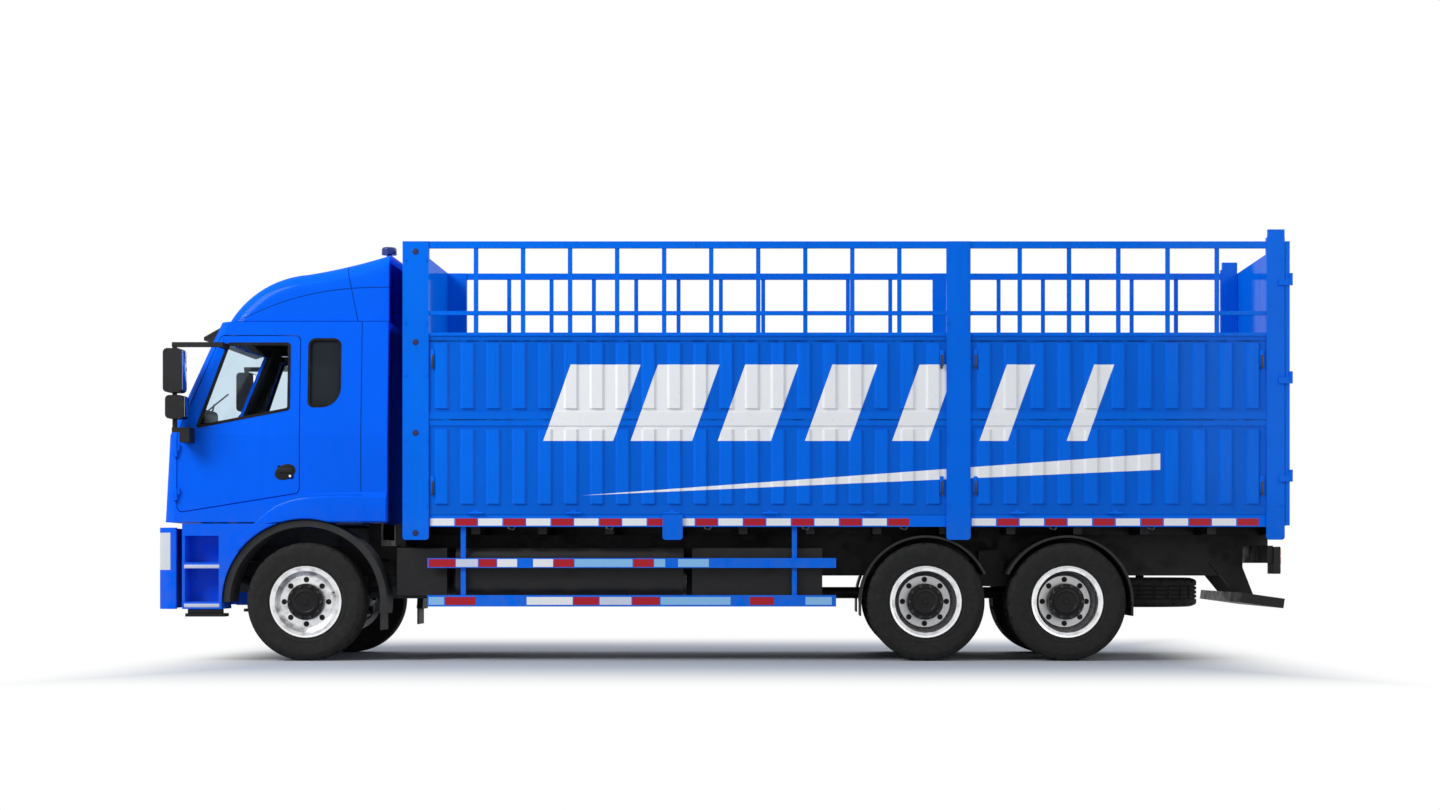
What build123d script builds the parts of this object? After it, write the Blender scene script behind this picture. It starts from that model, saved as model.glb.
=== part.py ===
from build123d import *
import os
from math import cos, radians, sin

# Stake truck: a tilting cab over the engine, a ladder frame on three axles, and a high-sided stake body.
# Millimetres. The nose points to -X, the left side to -Y, and the truck stands on Z = 0.

# Overall size
OVERALL_LENGTH = 10420
FRONT_X = -OVERALL_LENGTH / 2
REAR_X = OVERALL_LENGTH / 2

# Axles, tyres and wheels
FRONT_OVERHANG = 1360
REAR_OVERHANG = 2060
TANDEM_SPACING = 1300
TYRE_RADIUS = 543
TYRE_WIDTH = 280
TYRE_SHOULDER = 42
TYRE_BEAD_INSET = 28
RIM_SEAT = 300
RIM_LIP = 330
RIM_WALL = 16
RIM_HALF = 132
LIP_THICK = 13
DISC_THICK = 18
HUB_RADIUS = 166
FRONT_DISC_OUT = 92
FRONT_HUB_PROUD = 48
REAR_HUB_PROUD = 205
HAND_HOLES = 8
HAND_HOLE_RADIUS = 26
HAND_HOLE_RING = 204
DISC_SHOULDER = 238
BRAKE_DRUM = 200
FRONT_TRACK_HALF = 1060
REAR_TRACK_HALF = 920
TWIN_SPACING = 320
FRONT_SPINDLE = 40
REAR_SPINDLE = 52
RUNNING_GAP = 0.05
SEAT_GAP = 0.3

FRONT_AXLE_X = FRONT_X + FRONT_OVERHANG
LAST_AXLE_X = REAR_X - REAR_OVERHANG
REAR_AXLES_X = (LAST_AXLE_X - TANDEM_SPACING, LAST_AXLE_X)
AXLE_Z = TYRE_RADIUS

# Frame
RAIL_OUTER = 430
RAIL_HEIGHT = 280
RAIL_FLANGE = 80
RAIL_WALL = 10
RAIL_TOP = 1060
RAIL_BOTTOM = RAIL_TOP - RAIL_HEIGHT
RAIL_NOSE_GAP = 130
RAIL_TAIL_GAP = 310
RAIL_FRONT_X = FRONT_X + RAIL_NOSE_GAP
RAIL_REAR_X = REAR_X - RAIL_TAIL_GAP

# Cab
CAB_HALF = 1225
CAB_BOTTOM = 1275
BELT_Z = 2080
DOOR_TOP_Z = 2990
CANT_RISE = 50
ROOF_RISE = 82
CANT_Z = DOOR_TOP_Z + CANT_RISE
CAB_ROOF_Z = CANT_Z + ROOF_RISE
NOSE_SETBACK = 17
NOSE_X = FRONT_X + NOSE_SETBACK
BELT_SETBACK = 43
ROOF_SETBACK = 503
ROOF_HALF = 1150
CAB_LENGTH = 2097
CAB_REAR_X = NOSE_X + CAB_LENGTH
EXTENDER_LENGTH = 230
CAB_WALL = 60
CORNER_DEPTH = 140
CORNER_WIDTH = 230
NOSE_CROWN = 40

# Stake body
BODY_HALF = 1250
BODY_GAP = 147
BODY_FRONT_X = CAB_REAR_X + BODY_GAP
EDGE_RAIL_WIDTH = 100
FLOOR_HALF = BODY_HALF - EDGE_RAIL_WIDTH
GUARD_INSET = 35
GUARD_FACE = BODY_HALF - GUARD_INSET
POST_THICK = 60
EDGE_RAIL_TOP = 1345
EDGE_RAIL_BOTTOM = 1233
POST_FOOT = 1113
PANEL_TOP = 2984
BODY_TOP = 3850


def block(x, y, z):
    """A box from (low, high) pairs."""
    size = Box(x[1] - x[0], y[1] - y[0], z[1] - z[0])
    return Pos((x[0] + x[1]) / 2, (y[0] + y[1]) / 2, (z[0] + z[1]) / 2) * size


def prism_y(outline, y):
    """An outline of (x, z) points pushed along Y."""
    rim = Polyline(*[(px, y[0], pz) for px, pz in outline], close=True)
    return extrude(make_face(rim), amount=y[1] - y[0], dir=(0, 1, 0))


def prism_x(outline, x):
    """An outline of (y, z) points pushed along X."""
    rim = Polyline(*[(x[0], py, pz) for py, pz in outline], close=True)
    return extrude(make_face(rim), amount=x[1] - x[0], dir=(1, 0, 0))


def rounded_prism_y(outline, radius, y, grow=0.0):
    """An outline of (x, z) points with rounded corners, grown all round, pushed along Y."""
    rim = FilletPolyline(*[(px, y[0], pz) for px, pz in outline], radius=radius, close=True)
    face = make_face(rim)
    if grow:
        face = offset(face, amount=grow, kind=Kind.INTERSECTION)
    return extrude(face, amount=y[1] - y[0], dir=(0, 1, 0))


def rod_y(radius, x, z, y):
    return Pos(x, (y[0] + y[1]) / 2, z) * Rot(90, 0, 0) * Cylinder(radius, y[1] - y[0])


def rod_x(radius, y, z, x):
    return Pos((x[0] + x[1]) / 2, y, z) * Rot(0, 90, 0) * Cylinder(radius, x[1] - x[0])


def rod_z(radius, x, y, z):
    return Pos(x, y, (z[0] + z[1]) / 2) * Cylinder(radius, z[1] - z[0])


def turned(profile):
    """A (radius, offset) profile turned about Z."""
    rim = Polyline(*[(r, 0, w) for r, w in profile], close=True)
    return revolve(make_face(rim), Axis.Z, 360)


def opposite(shape):
    return mirror(shape, about=Plane.XZ)


def both_sides(shape):
    return [shape, opposite(shape)]


def write(name, *shapes):
    solids = [solid for shape in shapes for solid in shape.solids()]
    export_step(Compound(children=solids), f"parts/{name}.step")


# Tyres and wheels, turned about Z with +Z outwards


def tyre():
    half = TYRE_WIDTH / 2
    bead = half - TYRE_BEAD_INSET
    low = TYRE_RADIUS - TYRE_SHOULDER
    return turned(
        [
            (RIM_SEAT, -bead),
            (low, -half),
            (TYRE_RADIUS, TYRE_SHOULDER - half),
            (TYRE_RADIUS, half - TYRE_SHOULDER),
            (low, half),
            (RIM_SEAT, bead),
        ]
    )


def rim_band(middle, inner):
    """The outside of a rim, from its inner lip to its outer one, as (radius, offset) points."""
    seat = RIM_SEAT - SEAT_GAP
    ends = RIM_HALF - LIP_THICK
    return [
        (inner, middle - RIM_HALF),
        (RIM_LIP, middle - RIM_HALF),
        (RIM_LIP, middle - ends),
        (seat, middle - ends),
        (seat, middle + ends),
        (RIM_LIP, middle + ends),
        (RIM_LIP, middle + RIM_HALF),
        (inner, middle + RIM_HALF),
    ]


def hand_holes(low, high):
    step = 360 / HAND_HOLES
    hole = Pos(HAND_HOLE_RING, 0, (low + high) / 2) * Cylinder(HAND_HOLE_RADIUS, high - low)
    return [Rot(0, 0, step * turn) * hole for turn in range(HAND_HOLES)]


def front_wheel():
    inner = RIM_SEAT - RIM_WALL
    face, back = FRONT_DISC_OUT, FRONT_DISC_OUT - DISC_THICK
    slope = inner - DISC_SHOULDER
    bore = FRONT_SPINDLE + RUNNING_GAP
    cap = face + FRONT_HUB_PROUD
    hub_back = -RIM_HALF / 2
    profile = rim_band(0, inner) + [
        (inner, face - slope / 2),
        (DISC_SHOULDER, face),
        (HUB_RADIUS, face),
        (HUB_RADIUS, cap),
        (0, cap),
        (0, cap - DISC_THICK),
        (bore, cap - DISC_THICK),
        (bore, hub_back),
        (BRAKE_DRUM, hub_back),
        (BRAKE_DRUM, back),
        (DISC_SHOULDER, back),
        (inner, back - slope / 2),
    ]
    return turned(profile) - hand_holes(back - DISC_THICK, face + DISC_THICK)


def rear_wheel():
    inner = RIM_SEAT - RIM_WALL
    near, far = -TWIN_SPACING / 2, TWIN_SPACING / 2
    bore = REAR_SPINDLE + RUNNING_GAP
    slope = inner - DISC_SHOULDER
    hub_back = near - RIM_HALF / 2
    profile = rim_band(near, inner)[:-1] + rim_band(far, inner)[1:]
    profile += [
        (inner, DISC_THICK + slope / 2),
        (DISC_SHOULDER, DISC_THICK),
        (HUB_RADIUS, DISC_THICK),
        (HUB_RADIUS, REAR_HUB_PROUD),
        (0, REAR_HUB_PROUD),
        (0, REAR_HUB_PROUD - DISC_THICK),
        (bore, REAR_HUB_PROUD - DISC_THICK),
        (bore, hub_back),
        (BRAKE_DRUM, hub_back),
        (BRAKE_DRUM, -DISC_THICK),
        (DISC_SHOULDER, -DISC_THICK),
        (inner, -DISC_THICK - slope / 2),
    ]
    return turned(profile) - hand_holes(-2 * DISC_THICK, 2 * DISC_THICK)


def on_axle(shape, x, track):
    """A turned shape set on the left end of an axle."""
    return Pos(x, -track, AXLE_Z) * Rot(90, 0, 0) * shape


# Front axle, steering knuckles and tie rod
KINGPIN_Y = 870
KINGPIN_RADIUS = 22
KINGPIN_BOSS = 50
BOSS_HALF_HEIGHT = 75
LUG_THICK = 40
FORK_GAP = 1.0
BEAM_WIDTH = 90
BEAM_DROP = 110
BEAM_DEPTH = 100
BEAM_FLAT_HALF = 520
ARM_LENGTH = 210
ARM_THICK = 36
BALL_RADIUS = 16
TIE_ROD_RADIUS = 20
TIE_ROD_EYE = 34

# Arms straight back, so that the rod and the axle are a parallelogram
BALL_Y = KINGPIN_Y
BALL_X = FRONT_AXLE_X + ARM_LENGTH
LUG_OUTER = KINGPIN_BOSS + 40
ARM_Z = AXLE_Z - BOSS_HALF_HEIGHT - FORK_GAP - LUG_THICK


def front_axle():
    low, high = AXLE_Z - BEAM_DROP, AXLE_Z
    outline = [
        (-KINGPIN_Y, high - BEAM_DEPTH / 2),
        (-BEAM_FLAT_HALF, low - BEAM_DEPTH / 2),
        (BEAM_FLAT_HALF, low - BEAM_DEPTH / 2),
        (KINGPIN_Y, high - BEAM_DEPTH / 2),
        (KINGPIN_Y, high + BEAM_DEPTH / 2),
        (BEAM_FLAT_HALF, low + BEAM_DEPTH / 2),
        (-BEAM_FLAT_HALF, low + BEAM_DEPTH / 2),
        (-KINGPIN_Y, high + BEAM_DEPTH / 2),
    ]
    beam = prism_x(outline, (FRONT_AXLE_X - BEAM_WIDTH / 2, FRONT_AXLE_X + BEAM_WIDTH / 2))
    span = (AXLE_Z - BOSS_HALF_HEIGHT, AXLE_Z + BOSS_HALF_HEIGHT)
    for side in (-1, 1):
        beam += rod_z(KINGPIN_BOSS, FRONT_AXLE_X, side * KINGPIN_Y, span)
        beam -= rod_z(KINGPIN_RADIUS + RUNNING_GAP, FRONT_AXLE_X, side * KINGPIN_Y, span)
        pad_x = (FRONT_AXLE_X - BEAM_WIDTH, FRONT_AXLE_X + BEAM_WIDTH)
        pad_y = (side * SPRING_Y - SPRING_WIDTH / 2, side * SPRING_Y + SPRING_WIDTH / 2)
        beam += block(pad_x, pad_y, (low, FRONT_SEAT_Z))
    return beam


def knuckle():
    """The left knuckle: a fork on its kingpin, the wheel's spindle and a steering arm."""
    low = AXLE_Z - BOSS_HALF_HEIGHT - FORK_GAP
    high = AXLE_Z + BOSS_HALF_HEIGHT + FORK_GAP
    half = KINGPIN_BOSS
    x = (FRONT_AXLE_X - half, FRONT_AXLE_X + half)
    y_out = -KINGPIN_Y - LUG_OUTER
    plate = block(x, (y_out, -KINGPIN_Y - KINGPIN_BOSS - FORK_GAP * 5), (low - LUG_THICK, high + LUG_THICK))
    lugs_z = ((low - LUG_THICK, low), (high, high + LUG_THICK))
    lugs = [block(x, (y_out, -KINGPIN_Y + half), z) for z in lugs_z]
    pin = rod_z(KINGPIN_RADIUS, FRONT_AXLE_X, -KINGPIN_Y, (low, high))
    end = -FRONT_TRACK_HALF - FRONT_DISC_OUT - FRONT_HUB_PROUD + 2 * DISC_THICK
    spindle = rod_y(FRONT_SPINDLE, FRONT_AXLE_X, AXLE_Z, (end, y_out))
    arm_outline = [
        (FRONT_AXLE_X, -KINGPIN_Y - half),
        (BALL_X + TIE_ROD_EYE, -BALL_Y - TIE_ROD_EYE),
        (BALL_X + TIE_ROD_EYE, -BALL_Y + TIE_ROD_EYE),
        (FRONT_AXLE_X, -KINGPIN_Y + half),
    ]
    rim = Polyline(*[(px, py, ARM_Z) for px, py in arm_outline], close=True)
    arm = extrude(make_face(rim), amount=ARM_THICK, dir=(0, 0, 1))
    ball = rod_z(BALL_RADIUS, BALL_X, -BALL_Y, (ARM_Z - TIE_ROD_RADIUS * 2 - FORK_GAP, ARM_Z))
    return plate + lugs + pin + spindle + arm + ball


def tie_rod():
    z = ARM_Z - FORK_GAP - TIE_ROD_RADIUS
    rod = rod_y(TIE_ROD_RADIUS, BALL_X, z, (-BALL_Y, BALL_Y))
    for side in (-1, 1):
        span = (z - TIE_ROD_RADIUS - FORK_GAP / 2, z + TIE_ROD_RADIUS + FORK_GAP / 2)
        rod += rod_z(TIE_ROD_EYE, BALL_X, side * BALL_Y, span)
        rod -= rod_z(BALL_RADIUS + RUNNING_GAP, BALL_X, side * BALL_Y, (span[0] - 1, span[1] + 1))
    return rod


# Rear axles, springs and drive shafts
SPRING_Y = 390
SPRING_WIDTH = 80
FRONT_SPRING_HALF = 780
FRONT_SEAT_Z = 560
FRONT_SPRING_THICK = 70
BOGIE_SPRING_Y = 500
BOGIE_SEAT_Z = 650
BOGIE_SPRING_THICK = 130
SPRING_EYE = 30
AXLE_TUBE = 78
DIFFERENTIAL = 215
SHAFT_RADIUS = 55
SHAFT_Z = AXLE_Z + 70
HUB_SEAT = 655


def crescent(x, z_ends, z_middle, thick, end_thick, y):
    """A leaf pack: two arcs that meet the ends, thick at the middle, pushed along Y."""
    middle = (x[0] + x[1]) / 2
    low = ThreePointArc((x[0], y[0], z_ends), (middle, y[0], z_middle), (x[1], y[0], z_ends))
    high = ThreePointArc(
        (x[0], y[0], z_ends + end_thick), (middle, y[0], z_middle + thick), (x[1], y[0], z_ends + end_thick)
    )
    ends = [Line(low @ side, high @ side) for side in (0, 1)]
    return extrude(make_face([low, ends[1], high, ends[0]]), amount=y[1] - y[0], dir=(0, 1, 0))


def front_spring():
    x = (FRONT_AXLE_X - FRONT_SPRING_HALF, FRONT_AXLE_X + FRONT_SPRING_HALF)
    y = (-SPRING_Y - SPRING_WIDTH / 2, -SPRING_Y + SPRING_WIDTH / 2)
    pack = crescent(x, RAIL_BOTTOM - 2 * SPRING_EYE, FRONT_SEAT_Z, FRONT_SPRING_THICK, SPRING_EYE, y)
    for end in x:
        pack += block((end - SPRING_EYE, end + SPRING_EYE), y, (RAIL_BOTTOM - 2 * SPRING_EYE, RAIL_BOTTOM))
    return pack


def bogie_spring():
    """The left tandem spring: its ends lie on the two axles and its middle hangs on the frame's trunnion."""
    reach = AXLE_TUBE
    x = (REAR_AXLES_X[0] - reach, REAR_AXLES_X[1] + reach)
    y = (-BOGIE_SPRING_Y - SPRING_WIDTH / 2, -BOGIE_SPRING_Y + SPRING_WIDTH / 2)
    pack = crescent(x, BOGIE_SEAT_Z, BOGIE_SEAT_Z + 30, BOGIE_SPRING_THICK, SPRING_EYE, y)
    middle = sum(REAR_AXLES_X) / 2
    top = BOGIE_SEAT_Z + 30 + BOGIE_SPRING_THICK - SPRING_EYE
    trunnion = block((middle - 120, middle + 120), (y[0], -RAIL_OUTER), (top, RAIL_TOP - RAIL_WALL * 4))
    return pack + trunnion


def rear_axle(x):
    tube = rod_y(AXLE_TUBE, x, AXLE_Z, (-HUB_SEAT, HUB_SEAT))
    reach = REAR_TRACK_HALF + REAR_HUB_PROUD - 2 * DISC_THICK
    tube += rod_y(REAR_SPINDLE, x, AXLE_Z, (-reach, reach))
    tube += Pos(x, 0, AXLE_Z) * Sphere(DIFFERENTIAL)
    tube += rod_x(SHAFT_RADIUS * 1.5, 0, SHAFT_Z, (x - DIFFERENTIAL * 1.3, x))
    for side in (-1, 1):
        y = (side * BOGIE_SPRING_Y - SPRING_WIDTH / 2, side * BOGIE_SPRING_Y + SPRING_WIDTH / 2)
        low_pad = SHAFT_RADIUS
        tube += block((x - AXLE_TUBE, x + AXLE_TUBE), y, (AXLE_Z + low_pad, BOGIE_SEAT_Z - SEAT_GAP))
    return tube


# Engine with its gearbox, one plain block
ENGINE_HALF = 330
ENGINE_X = (FRONT_AXLE_X - 1000, FRONT_AXLE_X + 420)
ENGINE_Z = (620, 1230)
GEARBOX_HALF = 220
GEARBOX_LENGTH = 760
ENGINE_FOOT_Z = 880


def engine():
    unit = block(ENGINE_X, (-ENGINE_HALF, ENGINE_HALF), ENGINE_Z)
    gearbox_x = (ENGINE_X[1], ENGINE_X[1] + GEARBOX_LENGTH)
    unit += block(gearbox_x, (-GEARBOX_HALF, GEARBOX_HALF), (ENGINE_Z[0] - 60, SHAFT_Z + 330))
    inside = RAIL_OUTER - RAIL_WALL
    for x in (ENGINE_X[0] + 200, ENGINE_X[1] - 200):
        unit += block((x - 60, x + 60), (-inside, inside), (ENGINE_FOOT_Z, ENGINE_FOOT_Z + 50))
    return unit


def drive_shafts():
    start = ENGINE_X[1] + GEARBOX_LENGTH
    nose = DIFFERENTIAL * 1.3
    runs = [
        (start, SHAFT_SUPPORT_X),
        (SHAFT_SUPPORT_X + SHAFT_SUPPORT_LENGTH, REAR_AXLES_X[0] - nose),
        (REAR_AXLES_X[0] + DIFFERENTIAL, REAR_AXLES_X[1] - nose),
    ]
    return [rod_x(SHAFT_RADIUS, 0, SHAFT_Z, run) for run in runs]


# Frame rails and crossmembers
SHAFT_SUPPORT_X = (ENGINE_X[1] + GEARBOX_LENGTH + REAR_AXLES_X[0]) / 2
SHAFT_SUPPORT_LENGTH = 80
CROSS_WIDTH = 120
CROSS_HEIGHT = 160
TIE_BEHIND_GEARBOX = 160
TIE_AHEAD_OF_AXLE = 500
TIE_LIFT = 40
CAB_SUPPORT_BASE = 60
CAB_SUPPORT_FOOT = 120
CAB_PIVOT_X = NOSE_X + 75
CAB_PIVOT_Z = 1115
CAB_PIN_RADIUS = 25
CAB_LUG_Y = (300, 335)
CAB_LUG_GAP = 5
CAB_LUG_RADIUS = 45
CAB_SUPPORT_X = ENGINE_X[1] + 20
SPARE_X = REAR_AXLES_X[1] + 830


def frame_rail():
    """The left rail, a channel open towards the middle."""
    inner = -RAIL_OUTER + RAIL_FLANGE
    x = (RAIL_FRONT_X, RAIL_REAR_X)
    rail = block(x, (-RAIL_OUTER, inner), (RAIL_BOTTOM, RAIL_TOP))
    hollow = (RAIL_BOTTOM + RAIL_WALL, RAIL_TOP - RAIL_WALL)
    return rail - block((x[0] - 1, x[1] + 1), (-RAIL_OUTER + RAIL_WALL, inner + 1), hollow)


def crossmembers():
    """Ties between the rails, the cab's pivot and supports, the shaft's bearing and the spare's carrier."""
    inside = RAIL_OUTER - RAIL_WALL
    z_low = RAIL_BOTTOM + RAIL_WALL
    ties = []
    ties_x = (
        ENGINE_X[1] + GEARBOX_LENGTH + TIE_BEHIND_GEARBOX,
        SHAFT_SUPPORT_X,
        REAR_AXLES_X[0] - TIE_AHEAD_OF_AXLE,
        sum(REAR_AXLES_X) / 2,
        RAIL_REAR_X - CROSS_WIDTH,
    )
    tie_z = (z_low + TIE_LIFT, z_low + TIE_LIFT + CROSS_HEIGHT)
    for x in ties_x:
        ties.append(block((x, x + CROSS_WIDTH), (-inside, inside), tie_z))
    bearing = block(
        (SHAFT_SUPPORT_X, SHAFT_SUPPORT_X + SHAFT_SUPPORT_LENGTH),
        (-2 * SHAFT_RADIUS, 2 * SHAFT_RADIUS),
        (SHAFT_Z - 2 * SHAFT_RADIUS, tie_z[0]),
    )
    ties[1] += bearing
    front_x = (RAIL_FRONT_X, RAIL_FRONT_X + CROSS_WIDTH)
    front = block(front_x, (-inside, inside), (z_low, z_low + CROSS_HEIGHT))
    for side in (-1, 1):
        lug = sorted((side * (CAB_LUG_Y[1] + CAB_LUG_GAP), side * inside))
        lug_x = (CAB_PIVOT_X - CAB_LUG_RADIUS, RAIL_FRONT_X)
        front += block(lug_x, lug, (z_low, CAB_PIVOT_Z + CAB_LUG_RADIUS))
        pin = sorted((side * (CAB_LUG_Y[0] - 5), side * inside))
        front += rod_y(CAB_PIN_RADIUS, CAB_PIVOT_X, CAB_PIVOT_Z, pin)
    ties.append(front)
    support_x = (CAB_SUPPORT_X, CAB_SUPPORT_X + CROSS_WIDTH)
    base_top = RAIL_TOP + CAB_SUPPORT_BASE
    support = block(support_x, (-RAIL_OUTER, RAIL_OUTER), (RAIL_TOP, base_top))
    for side in (-1, 1):
        foot = sorted((side * RAIL_OUTER, side * (RAIL_OUTER - CAB_SUPPORT_FOOT)))
        support += block(support_x, foot, (base_top, CAB_BOTTOM - SEAT_GAP))
    ties.append(support)
    carrier = block((SPARE_X - 60, SPARE_X + 60), (-inside, inside), (z_low, z_low + CROSS_HEIGHT / 2))
    carrier += rod_z(40, SPARE_X, 0, (SPARE_Z - TYRE_WIDTH / 2, z_low))
    ties.append(carrier)
    return ties


# Spare wheel, flat under the tail
SPARE_DROP = 20
SPARE_Z = RAIL_BOTTOM - SPARE_DROP - TYRE_WIDTH / 2


def spare_wheel():
    bore = 40 + SEAT_GAP
    rim = turned(rim_band(0, RIM_SEAT - RIM_WALL) + [(RIM_SEAT - RIM_WALL, 9), (bore, 9), (bore, -9),
                                                     (RIM_SEAT - RIM_WALL, -9)])
    return [Pos(SPARE_X, 0, SPARE_Z) * shape for shape in (tyre(), rim)]


# Cab shell: lofted from three level sections, hollow, then cut into its panels
FLOOR_THICK = 60
PANEL_GAP = 8
DOOR_FRONT_X = NOSE_X + 173
DOOR_REAR_X = NOSE_X + 1288
DOOR_LOW_FRONT_Z = 1366
DOOR_LOW_REAR_Z = 1546
DOOR_TOP_FRONT_X = NOSE_X + 560
REAR_WALL_X = CAB_REAR_X - EXTENDER_LENGTH
DOOR_CORNER = 45
GLASS_DEPTH = 18
GLASS_THICK = 6
WINDOW_CORNER = 35

# Columns: height, nose setback, half width
CAB_LEVELS = [
    (CAB_BOTTOM, 0, CAB_HALF),
    (BELT_Z, BELT_SETBACK, CAB_HALF),
    (CAB_ROOF_Z, ROOF_SETBACK, ROOF_HALF),
]
DOOR_OUTLINE = [
    (DOOR_FRONT_X, DOOR_LOW_FRONT_Z),
    (DOOR_FRONT_X, BELT_Z),
    (DOOR_TOP_FRONT_X, DOOR_TOP_Z),
    (DOOR_REAR_X, DOOR_TOP_Z),
    (DOOR_REAR_X, DOOR_LOW_REAR_Z),
]
DOOR_WINDOW = [
    (DOOR_FRONT_X + 165, BELT_Z + 55),
    (DOOR_TOP_FRONT_X + 60, DOOR_TOP_Z - 60),
    (DOOR_REAR_X - 85, DOOR_TOP_Z - 60),
    (DOOR_REAR_X - 85, BELT_Z + 225),
]
QUARTER_X = (DOOR_REAR_X + 75, DOOR_REAR_X + 380)
QUARTER_Z = (BELT_Z + 250, DOOR_TOP_Z - 20)
QUARTER_WINDOW = [
    (QUARTER_X[0], QUARTER_Z[0]),
    (QUARTER_X[0], QUARTER_Z[1]),
    (QUARTER_X[1], QUARTER_Z[1]),
    (QUARTER_X[1], QUARTER_Z[0]),
]
# Corner radii from the lower front one on, none larger than a part of the window's height
QUARTER_RADII = [min(radius, 0.29 * (QUARTER_Z[1] - QUARTER_Z[0])) for radius in (50, 70, 70, 185)]
SCREEN_LOW_Z = BELT_Z + 60
SCREEN_TOP_Z = CANT_Z - 70
SCREEN_LOW_HALF = 1060
SCREEN_TOP_HALF = 985


def cab_section(level, inset, back):
    z, setback, half = level
    front = NOSE_X + setback + inset
    side = half - inset
    cheek = side - CORNER_WIDTH
    corner = (front + NOSE_CROWN, cheek), (front + CORNER_DEPTH, side)
    chord = (corner[1][0] - corner[0][0], corner[1][1] - corner[0][1])
    middle = ((corner[0][0] + corner[1][0]) / 2, (corner[0][1] + corner[1][1]) / 2)
    swell = 0.2
    bulge = (middle[0] - swell * chord[1], middle[1] + swell * chord[0])

    def at(point, mirror_sign):
        return (point[0], mirror_sign * point[1], z)

    nose = ThreePointArc(at(corner[0], -1), (front, 0, z), at(corner[0], 1))
    right = ThreePointArc(at(corner[0], 1), at(bulge, 1), at(corner[1], 1))
    left = ThreePointArc(at(corner[1], -1), at(bulge, -1), at(corner[0], -1))
    sides = Polyline(at(corner[1], 1), (back, side, z), (back, -side, z), at(corner[1], -1))
    return make_face([nose, right, sides, left])


def level_at(z):
    """The cab's nose setback and half width at a height, along the straight lines between its levels."""
    low, high = CAB_LEVELS[:2] if z < BELT_Z else CAB_LEVELS[1:]
    share = (z - low[0]) / (high[0] - low[0])
    return (z, low[1] + share * (high[1] - low[1]), low[2] + share * (high[2] - low[2]))


def cab_form(inset, bottom=CAB_BOTTOM, top=CAB_ROOF_Z, back=CAB_REAR_X):
    """The lower cab's outside, or a smaller copy of it, between two heights."""
    return loft([cab_section(level_at(z), inset, back) for z in (bottom, BELT_Z, top)], ruled=True)


def cab_shell(depth=0, thick=CAB_WALL):
    """A skin of the lower cab, open below and behind, closed above."""
    past = 50
    inner = depth + thick
    outside = cab_form(depth, top=CAB_ROOF_Z - depth)
    return outside - cab_form(inner, bottom=CAB_BOTTOM - past, top=CAB_ROOF_Z - inner, back=CAB_REAR_X + past)


FAR = 3000


def front_zone():
    """Everything ahead of the doors, up to the cant rail."""
    lean = (DOOR_TOP_FRONT_X - DOOR_FRONT_X) / (DOOR_TOP_Z - BELT_Z)
    at_cant = DOOR_TOP_FRONT_X + lean * (CANT_Z - DOOR_TOP_Z)
    outline = [
        (NOSE_X - FAR, CAB_BOTTOM - FAR),
        (DOOR_FRONT_X, CAB_BOTTOM - FAR),
        (DOOR_FRONT_X, BELT_Z),
        (DOOR_TOP_FRONT_X, DOOR_TOP_Z),
        (at_cant, CANT_Z),
        (NOSE_X - FAR, CANT_Z),
    ]
    return prism_y(outline, (-FAR, FAR))


def screen_cut(grow=0.0):
    outline = [
        (-SCREEN_LOW_HALF - grow, SCREEN_LOW_Z - grow),
        (SCREEN_LOW_HALF + grow, SCREEN_LOW_Z - grow),
        (SCREEN_TOP_HALF + grow, SCREEN_TOP_Z + grow),
        (-SCREEN_TOP_HALF - grow, SCREEN_TOP_Z + grow),
    ]
    return prism_x(outline, (NOSE_X - 100, DOOR_TOP_FRONT_X + 200))


# The side walls lie outside this plane, the front's inner corners inside it
SIDE_ZONE = (-FAR, -ROOF_HALF + CAB_WALL)


def door_cut(grow=0.0):
    return rounded_prism_y(DOOR_OUTLINE, DOOR_CORNER, SIDE_ZONE, grow)


def door_window(grow=0.0):
    return rounded_prism_y(DOOR_WINDOW, WINDOW_CORNER, SIDE_ZONE, grow)


def quarter_window(grow=0.0):
    return rounded_prism_y(QUARTER_WINDOW, QUARTER_RADII, SIDE_ZONE, grow)


# Front wheel arch: open in the cab and steps, lined by the mudguard
ARCH_RADIUS = 762
GUARD_RADIUS = 690
GUARD_THICK = 60


def arch_cut():
    return rod_y(ARCH_RADIUS, FRONT_AXLE_X, AXLE_Z, (-FAR, FAR))


# Cab door hinges: barrels on the pillar with pins, tubes on the door
HINGE_RADIUS = 13
HINGE_PIN = 7
HINGE_LENGTH = 55
HINGE_X = DOOR_FRONT_X - PANEL_GAP / 2
HINGE_Y = CAB_HALF + HINGE_RADIUS + 5
CAB_HINGES_Z = (1530, 1930)
HINGE_LEAF = 30
HANDLE_X = (DOOR_REAR_X - 195, DOOR_REAR_X - 45)
HANDLE_CUP_Z = (1670, 1795)
HANDLE_CUP_DEPTH = 30
HANDLE_BAR_Z = (1730, 1775)
HANDLE_BAR_THICK = 14
HANDLE_BAR_GAP = 20


def hinge_post(x, y, z, leaf):
    """The fixed half of a lift-off hinge: a barrel, a pin above it and a leaf, a (dx, dy) pair of spans."""
    barrel = rod_z(HINGE_RADIUS, x, y, (z - HINGE_LENGTH, z)) + block(*leaf, (z - HINGE_LENGTH, z))
    return barrel + rod_z(HINGE_PIN, x, y, (z - 1, z + HINGE_LENGTH))


def hinge_tube(x, y, z, leaf):
    """The moving half: a tube that sits on the barrel, with its leaf."""
    low = z + SEAT_GAP
    span = (low, low + HINGE_LENGTH)
    tube = rod_z(HINGE_RADIUS, x, y, span) + block(*leaf, span)
    return tube - rod_z(HINGE_PIN + RUNNING_GAP, x, y, (low - 5, low + HINGE_LENGTH + 5))


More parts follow.
